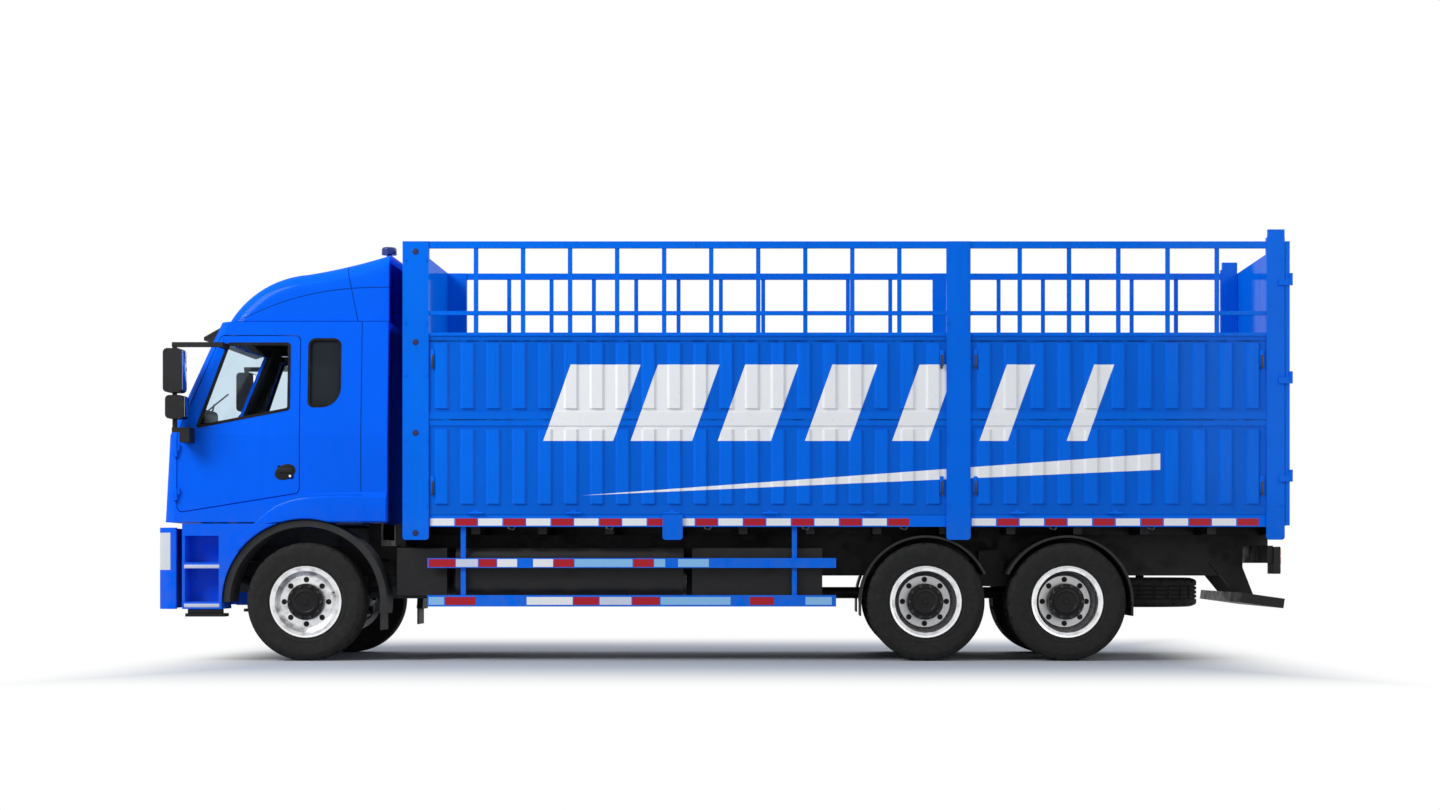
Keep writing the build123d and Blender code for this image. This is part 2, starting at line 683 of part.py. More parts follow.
def cab_hinge_leaf(x_end):
    x = sorted((HINGE_X, x_end))
    return (x, (-HINGE_Y - 5, -CAB_HALF + 4))


def cab_front(shell):
    gap = door_cut(PANEL_GAP)
    front = (shell & front_zone()) - screen_cut() - gap - opposite(gap)
    front -= block((NOSE_X - 100, NOSE_X + CAB_WALL / 2), (-GRILLE_HALF, GRILLE_HALF), GRILLE_Z)
    for z in CAB_HINGES_Z:
        post = hinge_post(HINGE_X, -HINGE_Y, z, cab_hinge_leaf(HINGE_X - HINGE_LEAF))
        front += [post, opposite(post)]
    return front


def cab_side(shell):
    """The left side behind the door's front edge, with its sill and quarter window."""
    zone = block((NOSE_X - FAR, REAR_WALL_X), (-FAR, -CAB_HALF / 2), (CAB_BOTTOM - FAR, CANT_Z))
    zone -= front_zone()
    side = (shell & zone) - door_cut(PANEL_GAP) - quarter_window() - arch_cut()
    return side + fender_panel()


def door(shell):
    panel = (shell & door_cut()) - door_window()
    past = 10
    panel -= block(HANDLE_X, (-CAB_HALF - past, -CAB_HALF + HANDLE_CUP_DEPTH), HANDLE_CUP_Z)
    bar_x = (HANDLE_X[0] + HANDLE_BAR_GAP, HANDLE_X[1] + 1)
    panel += block(bar_x, (-CAB_HALF, -CAB_HALF + HANDLE_BAR_THICK), HANDLE_BAR_Z)
    for z in CAB_HINGES_Z:
        panel += hinge_tube(HINGE_X, -HINGE_Y, z, cab_hinge_leaf(HINGE_X + HINGE_LEAF))
    return panel


def cab_floor():
    inside = cab_form(CAB_WALL + SEAT_GAP, back=REAR_WALL_X)
    floor = inside & block((NOSE_X, REAR_WALL_X), (-FAR, FAR), (CAB_BOTTOM, CAB_BOTTOM + FLOOR_THICK))
    reach = 0.6 * CAB_LUG_RADIUS
    rise = CAB_BOTTOM - CAB_PIVOT_Z + 1
    for side in (-1, 1):
        y = sorted((side * CAB_LUG_Y[0], side * CAB_LUG_Y[1]))
        # Leans back at the tilt's 45 degrees, so that it stands upright behind the bumper in a tilted cab
        arm = [
            (CAB_PIVOT_X - reach, CAB_PIVOT_Z + reach),
            (CAB_PIVOT_X + rise - 2 * reach, CAB_PIVOT_Z + rise),
            (CAB_PIVOT_X + rise + 2 * reach, CAB_PIVOT_Z + rise),
            (CAB_PIVOT_X + reach, CAB_PIVOT_Z - reach),
        ]
        lug = prism_y(arm, y) + rod_y(CAB_LUG_RADIUS, CAB_PIVOT_X, CAB_PIVOT_Z, y)
        floor += lug - rod_y(CAB_PIN_RADIUS + RUNNING_GAP, CAB_PIVOT_X, CAB_PIVOT_Z, y)
        well = sorted((side * (FRONT_GUARD_Y[0] - 20), side * CAB_HALF))
        floor -= rod_y(ARCH_RADIUS, FRONT_AXLE_X, AXLE_Z, well)
    return floor


def rear_wall():
    inside = cab_form(CAB_WALL + SEAT_GAP, top=CAB_ROOF_Z - CAB_WALL - SEAT_GAP)
    floor_top = CAB_BOTTOM + FLOOR_THICK + SEAT_GAP
    return inside & block((REAR_WALL_X - CAB_WALL, REAR_WALL_X), (-FAR, FAR), (floor_top, CAB_ROOF_Z))


def glass(cutter):
    return cab_shell(GLASS_DEPTH, GLASS_THICK) & cutter


# Grille, sun visor, roof fairing and its lamps
GRILLE_HALF = 820
GRILLE_Z = (1480, 1960)
SLATS = 5
SLAT_HEIGHT = 46
FAIRING_START = 600
# Columns: how far behind the nose, how far above the cab's roof
FAIRING_BROW = (890, 302)
FAIRING_CREST = (1325, 450)
FAIRING_REAR_MID = (1720, 528)
FAIRING_RISE = 632
ROOF_NOSE_X = NOSE_X + FAIRING_START
ROOF_BROW, ROOF_CREST, ROOF_REAR_MID = [
    (NOSE_X + back, CAB_ROOF_Z + rise) for back, rise in (FAIRING_BROW, FAIRING_CREST, FAIRING_REAR_MID)
]
ROOF_REAR_Z = CAB_ROOF_Z + FAIRING_RISE
FAIRING_INSET = 22
FAIRING_HALF = ROOF_HALF - FAIRING_INSET
FAIRING_EDGE = 150
FAIRING_WALL = 60


def grille():
    depth = (NOSE_X + NOSE_CROWN / 2, NOSE_X + CAB_WALL / 2)
    pitch = (GRILLE_Z[1] - GRILLE_Z[0]) / SLATS
    half = GRILLE_HALF - SEAT_GAP
    frame = block((depth[1] - 12, depth[1]), (-half, half), (GRILLE_Z[0] + SEAT_GAP, GRILLE_Z[1] - SEAT_GAP))
    for slat in range(SLATS):
        middle = GRILLE_Z[0] + pitch * (slat + 0.5)
        frame += block(depth, (-half, half), (middle - SLAT_HEIGHT / 2, middle + SLAT_HEIGHT / 2))
    return frame


def fairing_form(inset):
    """The roof fairing's outside, or a smaller copy, from its arched side outline."""
    half = FAIRING_HALF - inset
    slant = inset * 0.7
    low = CAB_ROOF_Z - (inset and CAB_WALL)
    start = (ROOF_NOSE_X + inset * 1.4, CAB_ROOF_Z)
    rear_x = CAB_REAR_X + inset
    points = {
        "start": (start[0], -half, start[1]),
        "brow": (ROOF_BROW[0] + slant, -half, ROOF_BROW[1] - slant),
        "crest": (ROOF_CREST[0], -half, ROOF_CREST[1] - inset),
        "rear_mid": (ROOF_REAR_MID[0], -half, ROOF_REAR_MID[1] - inset),
        "rear": (rear_x, -half, ROOF_REAR_Z - inset),
    }
    arches = [
        ThreePointArc(points["start"], points["brow"], points["crest"]),
        ThreePointArc(points["crest"], points["rear_mid"], points["rear"]),
    ]
    base = [points["rear"], (rear_x, -half, low), (start[0], -half, low)]
    if inset:
        base.append(points["start"])
    else:
        base[-1] = points["start"]
    outline = make_face(arches + [Polyline(*base)])
    form = extrude(outline, amount=2 * half, dir=(0, 1, 0))
    if inset:
        return form
    return fillet(form.edges().filter_by(GeomType.CIRCLE), FAIRING_EDGE)


def roof_fairing():
    return fairing_form(0) - fairing_form(FAIRING_WALL)


# Sun visor, roof lamps, mirrors and what stands in the cab
VISOR_HALF = 1040
VISOR_Z = (CANT_Z - 80, CANT_Z + 35)
VISOR_REACH = 150
LAMP_Y = 700
LAMP_RADIUS = 70
LAMP_HEIGHT = 110
MIRROR_Y = (1300, 1490)
# Columns: low and high x behind the nose, low and high z
MIRROR_HEADS = [(110, 280, 2450, 2850), (130, 300, 2210, 2425)]
MIRROR_ARM = 22
MIRROR_CORNER = 40
MIRROR_FOOT = 50
SEAT_WIDTH = 520
SEAT_Y = 620
SEAT_X = NOSE_X + 820
DASH_DEPTH = 430
DASH_TOP = 2060
DASH_SIDE_GAP = 45
WHEEL_RADIUS = 225


def sun_visor():
    """A smoked blade that hangs ahead of the windscreen's head."""
    lean = ROOF_SETBACK / (CAB_ROOF_Z - BELT_Z)
    root_x = NOSE_X + ROOF_SETBACK - lean * (CAB_ROOF_Z - VISOR_Z[1]) + NOSE_CROWN
    skin = cab_form(-SEAT_GAP, top=CAB_ROOF_Z + 1)
    outline = [
        (root_x - VISOR_REACH, VISOR_Z[0]),
        (root_x + 100, VISOR_Z[1] - 30),
        (root_x + 100, VISOR_Z[1]),
        (root_x, VISOR_Z[1]),
        (root_x - VISOR_REACH, VISOR_Z[0] + 30),
    ]
    blade = prism_y(outline, (-VISOR_HALF, VISOR_HALF)) - skin
    return max(blade.solids(), key=lambda solid: solid.volume)


def roof_lamp():
    """A marker lamp on a short foot at the fairing's rear edge."""
    x = CAB_REAR_X - LAMP_RADIUS
    foot = rod_z(LAMP_RADIUS / 3, x, -LAMP_Y, (ROOF_REAR_Z - 40, ROOF_REAR_Z + LAMP_HEIGHT / 2))
    dome = Pos(x, -LAMP_Y, ROOF_REAR_Z + LAMP_HEIGHT - LAMP_RADIUS / 2) * Cylinder(LAMP_RADIUS, LAMP_RADIUS)
    return (foot - fairing_form(0)) + fillet(dome.edges().group_by(Axis.Z)[-1], LAMP_RADIUS / 3)


def mirror_set():
    """The left door's two mirror heads on a bowed arm, held at the door's top corner and below its window."""
    heads = []
    for x0, x1, z0, z1 in MIRROR_HEADS:
        head = block((NOSE_X + x0, NOSE_X + x1), (-MIRROR_Y[1], -MIRROR_Y[0]), (z0, z1))
        heads.append(fillet(head.edges().filter_by(Axis.Y), MIRROR_CORNER))
    y = -(MIRROR_Y[0] + MIRROR_Y[1]) / 2
    x = NOSE_X + sum(MIRROR_HEADS[0][:2]) / 2
    top_z, low_z = MIRROR_HEADS[0][3] + 60, MIRROR_HEADS[1][2] - 120
    side_low = -CAB_HALF - SEAT_GAP
    slope = (CAB_HALF - ROOF_HALF) / (CAB_ROOF_Z - BELT_Z)
    side_top = -(CAB_HALF - slope * (top_z - 2 * MIRROR_ARM - BELT_Z)) - SEAT_GAP
    post = rod_z(MIRROR_ARM, x, y, (low_z, top_z))
    foot_x = DOOR_FRONT_X + 110
    top_x = DOOR_TOP_FRONT_X + 25
    arm_y = (y - MIRROR_ARM, y + MIRROR_ARM)
    low_arm_z = (low_z, low_z + 2 * MIRROR_ARM)
    top_arm_z = (top_z - 2 * MIRROR_ARM, top_z)
    low_arm = block((x - MIRROR_ARM, foot_x + MIRROR_FOOT), arm_y, low_arm_z)
    low_foot = block((foot_x - 40, foot_x + MIRROR_FOOT), (arm_y[0], side_low), (low_z - 90, low_arm_z[1]))
    top_arm = block((x - MIRROR_ARM, top_x + MIRROR_FOOT), arm_y, top_arm_z)
    top_foot = block((top_x, top_x + MIRROR_FOOT), (arm_y[0], side_top), top_arm_z)
    arms = post + low_arm + low_foot + top_arm + top_foot
    return arms + heads


def seat():
    """A plain driver's seat: base, cushion, back and head rest, on the left."""
    floor = CAB_BOTTOM + FLOOR_THICK
    half = SEAT_WIDTH / 2
    outline = [
        (SEAT_X, floor),
        (SEAT_X + 430, floor),
        (SEAT_X + 430, floor + 330),
        (SEAT_X + 560, floor + 900),
        (SEAT_X + 600, floor + 1120),
        (SEAT_X + 520, floor + 1120),
        (SEAT_X + 400, floor + 480),
        (SEAT_X - 60, floor + 500),
        (SEAT_X - 60, floor + 360),
        (SEAT_X, floor + 330),
    ]
    return prism_y(outline, (-SEAT_Y - half, -SEAT_Y + half))


def dashboard():
    """The dashboard across the cab with the steering wheel on its column."""
    inside = cab_form(CAB_WALL + SEAT_GAP)
    front = NOSE_X + BELT_SETBACK
    outline = [
        (front, DASH_TOP - 420),
        (front + 300, DASH_TOP - 420),
        (front + DASH_DEPTH, DASH_TOP - 160),
        (front + DASH_DEPTH - 60, DASH_TOP),
        (front, DASH_TOP),
    ]
    half = ROOF_HALF - CAB_WALL - DASH_SIDE_GAP
    panel = prism_y(outline, (-half, half)) & inside
    tilt = 28
    centre = Pos(front + DASH_DEPTH + 90, -SEAT_Y, DASH_TOP + 30) * Rot(0, tilt, 0)
    ring = centre * (Cylinder(WHEEL_RADIUS, 30) - Cylinder(WHEEL_RADIUS - 28, 40))
    spokes = centre * Box(2 * WHEEL_RADIUS - 20, 50, 18)
    column = centre * Pos(0, 0, -150) * Cylinder(32, 300)
    return panel + ring + spokes + column


# Bumper, headlamps, steps and fender panels
BUMPER_TOP = 1225
BUMPER_BOTTOM = 478
BUMPER_WALL = 40
BUMPER_DEPTH = 182
BUMPER_CORNER = 150
LAMP_Z = (837, 1178)
LAMP_INNER_Y = 790
FENDER_PROUD = 14
STEP_SETBACK = 237
STEP_FRONT_X = FRONT_X + STEP_SETBACK
STEP_TOP = 1262
STEP_BOTTOM = 478
STEP_DEPTH = 375
STEP_TREAD_DEPTH = 210
# Columns: low and high z of each foothold
FOOTHOLDS = [(545, 850), (905, 1150)]


def bumper_form(inset):
    half = CAB_HALF + FENDER_PROUD - inset
    front = FRONT_X + inset
    back = FRONT_X + BUMPER_DEPTH + (inset and 50)
    radius = BUMPER_CORNER - inset
    low, high = BUMPER_BOTTOM - (inset and 50), BUMPER_TOP + (inset and 50)
    corners = [(front, -half, low), (front, half, low), (back, half, low), (back, -half, low)]
    rim = FilletPolyline(*corners, radius=[radius, radius, 5, 5], close=True)
    return extrude(make_face(rim), amount=high - low, dir=(0, 0, 1))


def lamp_zone():
    return block((FRONT_X - 10, FRONT_X + 130), (-FAR, -LAMP_INNER_Y), LAMP_Z)


def bumper():
    shell = bumper_form(0) - bumper_form(BUMPER_WALL)
    zone = lamp_zone()
    y = (-RAIL_OUTER - RAIL_FLANGE, -RAIL_OUTER)
    arm = block((FRONT_X + BUMPER_WALL - 1, RAIL_FRONT_X + 80), y, (RAIL_BOTTOM + 20, RAIL_BOTTOM + 120))
    return shell - zone - opposite(zone) + arm + opposite(arm)


def headlamp():
    return (bumper_form(0) - bumper_form(BUMPER_WALL)) & lamp_zone()


def step_unit():
    """The left step unit ahead of the wheel, with two footholds, hung on the frame."""
    half = CAB_HALF + FENDER_PROUD
    body = block((STEP_FRONT_X, FRONT_AXLE_X), (-half, -half + STEP_DEPTH), (STEP_BOTTOM, STEP_TOP))
    body = max((body - arch_cut()).solids(), key=lambda solid: solid.volume)
    tread_x = (STEP_FRONT_X + 25, FRONT_AXLE_X - ARCH_RADIUS - 25)
    for z in FOOTHOLDS:
        body -= block(tread_x, (-half - 10, -half + STEP_TREAD_DEPTH), z)
    hanger_x = (STEP_FRONT_X + 60, STEP_FRONT_X + 160)
    body += block(hanger_x, (-half + STEP_DEPTH - 1, -RAIL_OUTER), (RAIL_BOTTOM + 60, RAIL_BOTTOM + 160))
    return body


LOW_STEP_Z = 408
LOW_STEP_THICK = 30
LOW_STEP_DEPTH = 190
LOW_STEP_LEG = 26
LOW_STEP_CORNER = 12


def low_step():
    """The lowest left step: a tread under the step unit, hung on two legs."""
    half = CAB_HALF + FENDER_PROUD
    x = (STEP_FRONT_X + LOW_STEP_LEG, FRONT_AXLE_X - ARCH_RADIUS + LOW_STEP_LEG)
    tread = block(x, (-half, -half + LOW_STEP_DEPTH), (LOW_STEP_Z, LOW_STEP_Z + LOW_STEP_THICK))
    tread = fillet(tread.edges().filter_by(Axis.Z), LOW_STEP_CORNER)
    leg_y = (-half + LOW_STEP_DEPTH / 2, -half + LOW_STEP_DEPTH / 2 + LOW_STEP_LEG)
    for end in (x[0] + LOW_STEP_LEG, FRONT_AXLE_X - ARCH_RADIUS - 3 * LOW_STEP_LEG):
        tread += block((end, end + LOW_STEP_LEG), leg_y, (LOW_STEP_Z, STEP_BOTTOM))
    return tread


def fender_panel():
    """A raised skin on the cab's left side, below the door's edge and above the wheel."""
    gap = 2 * PANEL_GAP
    outline = [
        (DOOR_FRONT_X, CAB_BOTTOM),
        (DOOR_FRONT_X, DOOR_LOW_FRONT_Z - gap),
        (DOOR_REAR_X, DOOR_LOW_REAR_Z - gap),
        (REAR_WALL_X, DOOR_LOW_REAR_Z - gap),
        (REAR_WALL_X, CAB_BOTTOM),
    ]
    return prism_y(outline, (-CAB_HALF - FENDER_PROUD, -CAB_HALF)) - arch_cut()


# Mudguards
FRONT_GUARD_Y = (870, CAB_HALF - 10)
FRONT_GUARD_FROM = -8
FLAP_BOTTOM = 285
FLAP_THICK = 14
REAR_GUARD_RADIUS = 590
REAR_GUARD_THICK = 20
REAR_GUARD_Y = (630, GUARD_FACE)
STAY_RADIUS = 18


def arc_band(x, inner, thick, y, start, end):
    """A band bent round an axle, between two angles from +X, on the left."""
    outer = inner + thick

    def at(radius, angle):
        return (x + radius * cos(radians(angle)), -y[1], AXLE_Z + radius * sin(radians(angle)))

    middle = (start + end) / 2
    inside = ThreePointArc(at(inner, start), at(inner, middle), at(inner, end))
    outside = ThreePointArc(at(outer, start), at(outer, middle), at(outer, end))
    ends = [Line(at(inner, angle), at(outer, angle)) for angle in (start, end)]
    return extrude(make_face([inside, ends[1], outside, ends[0]]), amount=y[1] - y[0], dir=(0, 1, 0))


def stay(x, radius, angle, y_end):
    along, up = radius * cos(radians(angle)), radius * sin(radians(angle))
    return rod_y(STAY_RADIUS, x + along, AXLE_Z + up, (-y_end, -RAIL_OUTER))


def front_guard():
    """The left liner: an arch over the wheel, running down into a flap behind it."""
    band = arc_band(FRONT_AXLE_X, GUARD_RADIUS, GUARD_THICK, FRONT_GUARD_Y, FRONT_GUARD_FROM, 180)
    y = (-FRONT_GUARD_Y[1], -FRONT_GUARD_Y[0])
    flap_x = FRONT_AXLE_X + GUARD_RADIUS
    band += block((flap_x, flap_x + FLAP_THICK), y, (FLAP_BOTTOM, AXLE_Z - 40))
    for angle in (32, 148):
        band += stay(FRONT_AXLE_X, GUARD_RADIUS + GUARD_THICK / 2, angle, FRONT_GUARD_Y[0] + 30)
    return band


def rear_guard(x, start, end, flap_side):
    """A left guard over a twin wheel, with a flap where it ends the tandem."""
    band = arc_band(x, REAR_GUARD_RADIUS, REAR_GUARD_THICK, REAR_GUARD_Y, start, end)
    middle = REAR_GUARD_RADIUS + REAR_GUARD_THICK / 2
    for angle in (38, 142):
        band += stay(x, middle, angle, REAR_GUARD_Y[0] + 30)
    edge = x + flap_side * middle
    y = (-REAR_GUARD_Y[1], -REAR_GUARD_Y[0])
    band += block((edge - FLAP_THICK / 2, edge + FLAP_THICK / 2), y, (AXLE_Z - 130, AXLE_Z + 10))
    return band


# Boxes and tanks on the frame
BOX_AHEAD_OF_AXLE = 950
BOX_GAP = 80
BATTERY_BEHIND_AXLE = 830
BATTERY_LENGTH = 460
BATTERY_START = FRONT_AXLE_X + BATTERY_BEHIND_AXLE
BATTERY_X = (BATTERY_START, BATTERY_START + BATTERY_LENGTH)
TOOL_BOX_LENGTH = 1200
TOOL_BOX_END = REAR_AXLES_X[0] - BOX_AHEAD_OF_AXLE
TOOL_BOX_X = (TOOL_BOX_END - TOOL_BOX_LENGTH, TOOL_BOX_END)
TANK_X = (BATTERY_X[1] + BOX_GAP, TOOL_BOX_X[0] - BOX_GAP)
SILENCER_LENGTH = 1070
SILENCER_X = (BATTERY_START, BATTERY_START + SILENCER_LENGTH)
AIR_TANK_LENGTH = 900
AIR_TANK_X = (TOOL_BOX_END - AIR_TANK_LENGTH, TOOL_BOX_END)
SIDE_BOX_STANDOFF = 130
SIDE_BOX_INSET = 120
SIDE_BOX_Y = (RAIL_OUTER + SIDE_BOX_STANDOFF, BODY_HALF - SIDE_BOX_INSET)
SIDE_BOX_Z = (590, 1040)
TANK_CORNER = 90
BOX_CORNER = 15
SILENCER_CORNER = 60
AIR_TANK_RADIUS = 125


def bracket(x, y, z, half=40):
    """An arm from the left rail's outside to a box."""
    return block((x - half, x + half), (-y, -RAIL_OUTER), z)


def side_box(x, corner):
    y, z = SIDE_BOX_Y, SIDE_BOX_Z
    corners = [(x[0], -y[1], z[0]), (x[0], -y[0], z[0]), (x[0], -y[0], z[1]), (x[0], -y[1], z[1])]
    rim = FilletPolyline(*corners, radius=corner, close=True)
    body = extrude(make_face(rim), amount=x[1] - x[0], dir=(1, 0, 0))
    arm_z = (RAIL_BOTTOM + 60, RAIL_BOTTOM + 160)
    for share in (0.2, 0.8):
        body += bracket(x[0] + share * (x[1] - x[0]), y[0] + 30, arm_z)
    return body


def air_tanks():
    """Two reservoirs on the right, one above the other, each on its arms."""
    tanks = []
    for z in (RAIL_BOTTOM - 60, RAIL_BOTTOM + 210):
        y = SIDE_BOX_Y[0] + AIR_TANK_RADIUS
        tank = rod_x(AIR_TANK_RADIUS, -y, z, AIR_TANK_X)
        tank = chamfer(tank.edges().filter_by(GeomType.CIRCLE), AIR_TANK_RADIUS / 4)
        arm_z = (max(z - 20, RAIL_BOTTOM), max(z - 20, RAIL_BOTTOM) + 40)
        for share in (0.2, 0.8):
            tank += bracket(AIR_TANK_X[0] + share * (AIR_TANK_X[1] - AIR_TANK_X[0]), y, arm_z)
        tanks.append(opposite(tank))
    return tanks


# Side guards, rear underrun bar and tail lamps
GUARD_BEHIND_AXLE = 1122
GUARD_AHEAD_OF_AXLE = 824
GUARD_X = (FRONT_AXLE_X + GUARD_BEHIND_AXLE, REAR_AXLES_X[0] - GUARD_AHEAD_OF_AXLE)
GUARD_RAILS_Z = [(855, 945), (500, 605)]
GUARD_BAR = 30
GUARD_Y = (GUARD_FACE - 2 * GUARD_BAR, GUARD_FACE - GUARD_BAR, GUARD_FACE)
GUARD_ENDS = (303, 406)
GUARD_POSTS_X = (GUARD_X[0] + GUARD_ENDS[0], GUARD_X[1] - GUARD_ENDS[1])
GUARD_POST_WIDTH = 45
UNDERRUN_LENGTH = 400
UNDERRUN_HEIGHT = 90
UNDERRUN_HALF = FLOOR_HALF
UNDERRUN_Z = 555
UNDERRUN_TAIL_GAP = 255
UNDERRUN_X = REAR_X - UNDERRUN_TAIL_GAP
UNDERRUN_TILT = 8
TAIL_LAMP_X = (REAR_X - 160, REAR_X - 100)
TAIL_LAMP_INSET = 60
TAIL_LAMP_WIDTH = 310
TAIL_LAMP_Y = (BODY_HALF - TAIL_LAMP_INSET - TAIL_LAMP_WIDTH, BODY_HALF - TAIL_LAMP_INSET)
TAIL_LAMP_Z = (800, 1050)


def side_guard():
    back, middle, front = GUARD_Y
    guard = block(GUARD_X, (-front, -middle), GUARD_RAILS_Z[0])
    post_z = (GUARD_RAILS_Z[1][0], EDGE_RAIL_BOTTOM)
    posts = [block((x, x + GUARD_POST_WIDTH), (-middle, -back), post_z) for x in GUARD_POSTS_X]
    return guard + block(GUARD_X, (-front, -middle), GUARD_RAILS_Z[1]) + posts


def underrun():
    bar = Pos(UNDERRUN_X, 0, UNDERRUN_Z) * Rot(0, UNDERRUN_TILT, 0)
    bar *= Box(UNDERRUN_LENGTH, 2 * UNDERRUN_HALF, UNDERRUN_HEIGHT)
    outline = [
        (RAIL_REAR_X - 320, RAIL_BOTTOM + 120),
        (RAIL_REAR_X - 20, RAIL_BOTTOM + 120),
        (UNDERRUN_X + 60, UNDERRUN_Z),
        (UNDERRUN_X - 90, UNDERRUN_Z),
    ]
    arm = prism_y(outline, (-RAIL_OUTER - 20, -RAIL_OUTER))
    return bar + arm + opposite(arm)


def tail_lamp():
    return block(TAIL_LAMP_X, (-TAIL_LAMP_Y[1], -TAIL_LAMP_Y[0]), TAIL_LAMP_Z)


# Stake body
FRONT_POST_WIDTH = 239
MIDDLE_POST_WIDTH = 221
MIDDLE_POST_BEHIND_AXLE = 188
MIDDLE_POST_X = REAR_AXLES_X[0] + MIDDLE_POST_BEHIND_AXLE
REAR_POST_LENGTH = 167
POCKET_WIDTH = 184
POCKET_SHARE = 0.471
POCKET_CORNER = 28
DOOR_THICK = 40
DOOR_TAIL_GAP = 26
REAR_DOOR_X = (REAR_X - DOOR_TAIL_GAP - DOOR_THICK, REAR_X - DOOR_TAIL_GAP)
DOOR_CLEAR = 5
REAR_POST_END = REAR_DOOR_X[0] - DOOR_CLEAR
REAR_POST_X = REAR_POST_END - REAR_POST_LENGTH
POST_PLATE = 25
REAR_POST_RISE = 35
POST_CAP = 75
PANEL_INSET = 18
PANEL_OUT = BODY_HALF - PANEL_INSET
PANEL_THICK = 40
RIB_PROUD = 16
RIB_PITCH = 237
RIB_WIDTH = 140
RIB_SLOPE = 22
RIB_MARGINS = (99, 68)
BAND_HEIGHT = 125
BAND_GAP = 34
BAND_SHARE = 0.535
BAND_MIDDLE = EDGE_RAIL_TOP + BAND_SHARE * (PANEL_TOP - EDGE_RAIL_TOP)
BAND_Z = (BAND_MIDDLE - BAND_HEIGHT / 2, BAND_MIDDLE + BAND_HEIGHT / 2)
# Columns: low and high z of the two tiers of ribs
RIB_TIERS = [
    (EDGE_RAIL_TOP + RIB_MARGINS[0], BAND_Z[0] - BAND_GAP),
    (BAND_Z[1] + BAND_GAP, PANEL_TOP - RIB_MARGINS[1]),
]
GRILLE_INSET = 8
GRILLE_OUT = BODY_HALF - GRILLE_INSET
GRILLE_DEPTH = 40
TOP_RAIL = 62
MIDDLE_RAIL = 37
MIDDLE_RAIL_SHARE = 0.22
MIDDLE_RAIL_LOW = PANEL_TOP + MIDDLE_RAIL_SHARE * (BODY_TOP - PANEL_TOP)
FOOT_RAIL = 30
BAR_WIDTH = 40
BAR_DEPTH = 26
BAR_INSET = 6
BED_FLOOR_THICK = 40
BEAM_TOP = EDGE_RAIL_TOP - BED_FLOOR_THICK
SILL_TOP = 1165
BED_BEAMS = 14
BED_BEAM_WIDTH = 80
HEADBOARD_THICK = 50
HEADBOARD_RIBS = 8
LOCK_ROD = 10
LOCK_ROD_Y = 300
DOOR_RIBS = 2
DOOR_RIB_GAP = 50
DOOR_RIB_MARGINS = (170, 173)
REAR_HINGE_X = REAR_DOOR_X[1] + 12
REAR_HINGE_Y = BODY_HALF + 15
REAR_DOOR_EDGE = BODY_HALF + 3
REAR_DOOR_Z = (EDGE_RAIL_BOTTOM + 12, BODY_TOP)
HINGE_ENDS = (455, 350)
REAR_HINGE_LOW, REAR_HINGE_TOP = REAR_DOOR_Z[0] + HINGE_ENDS[0], REAR_DOOR_Z[1] - HINGE_ENDS[1]
REAR_HINGES_Z = (REAR_HINGE_LOW, (REAR_HINGE_LOW + REAR_HINGE_TOP) / 2, REAR_HINGE_TOP)

# The side's two bays between its posts, as (low, high) x
BAYS = [
    (BODY_FRONT_X + FRONT_POST_WIDTH, MIDDLE_POST_X),
    (MIDDLE_POST_X + MIDDLE_POST_WIDTH, REAR_POST_X),
]
BAY_BARS = (10, 5)


def rib(x, face, proud, z):
    """A pressed rib with sloping flanks, standing out to -Y from a face."""
    outline = [
        (x[0], -face, z[0]),
        (x[0] + RIB_SLOPE, -face - proud, z[0]),
        (x[1] - RIB_SLOPE, -face - proud, z[0]),
        (x[1], -face, z[0]),
    ]
    return extrude(make_face(Polyline(*outline, close=True)), amount=z[1] - z[0], dir=(0, 0, 1))


def rib_places(low, high):
    """Even rib spans between two edges."""
    count = max(1, round((high - low) / RIB_PITCH))
    pitch = (high - low) / count
    middles = [low + pitch * (n + 0.5) for n in range(count)]
    return [(middle - RIB_WIDTH / 2, middle + RIB_WIDTH / 2) for middle in middles]


def side_panel(bay):
    """One left panel: a sheet wall with two tiers of ribs and a band between them."""
    wall = block(bay, (-PANEL_OUT, -PANEL_OUT + PANEL_THICK), (EDGE_RAIL_TOP, PANEL_TOP))
    pressings = [rib(x, PANEL_OUT, RIB_PROUD, z) for x in rib_places(*bay) for z in RIB_TIERS]
    band = block(bay, (-PANEL_OUT - RIB_PROUD / 2, -PANEL_OUT), BAND_Z)
    return wall + pressings + band


def side_grille(bay, bars):
    """One left grille above a panel: three rails and upright bars."""
    y = (-GRILLE_OUT, -GRILLE_OUT + GRILLE_DEPTH)
    rails = [
        (BODY_TOP - TOP_RAIL, BODY_TOP),
        (MIDDLE_RAIL_LOW, MIDDLE_RAIL_LOW + MIDDLE_RAIL),
        (PANEL_TOP, PANEL_TOP + FOOT_RAIL),
    ]
    pieces = [block(bay, y, z) for z in rails]
    pitch = (bay[1] - bay[0]) / (bars + 1)
    bar_y = (-GRILLE_OUT + BAR_INSET, -GRILLE_OUT + BAR_INSET + BAR_DEPTH)
    for bar in range(1, bars + 1):
        x = bay[0] + pitch * bar
        pieces.append(block((x - BAR_WIDTH / 2, x + BAR_WIDTH / 2), bar_y, (PANEL_TOP, BODY_TOP - TOP_RAIL)))
    return pieces[0] + pieces[1:]


def foot_plate(x):
    """A plate on the edge rail's face that hangs below it with rounded corners."""
    plate = block(x, (-BODY_HALF, -BODY_HALF + POST_PLATE), (POST_FOOT, EDGE_RAIL_TOP))
    return fillet(plate.edges().filter_by(Axis.Y).group_by(Axis.Z)[0], POCKET_CORNER)


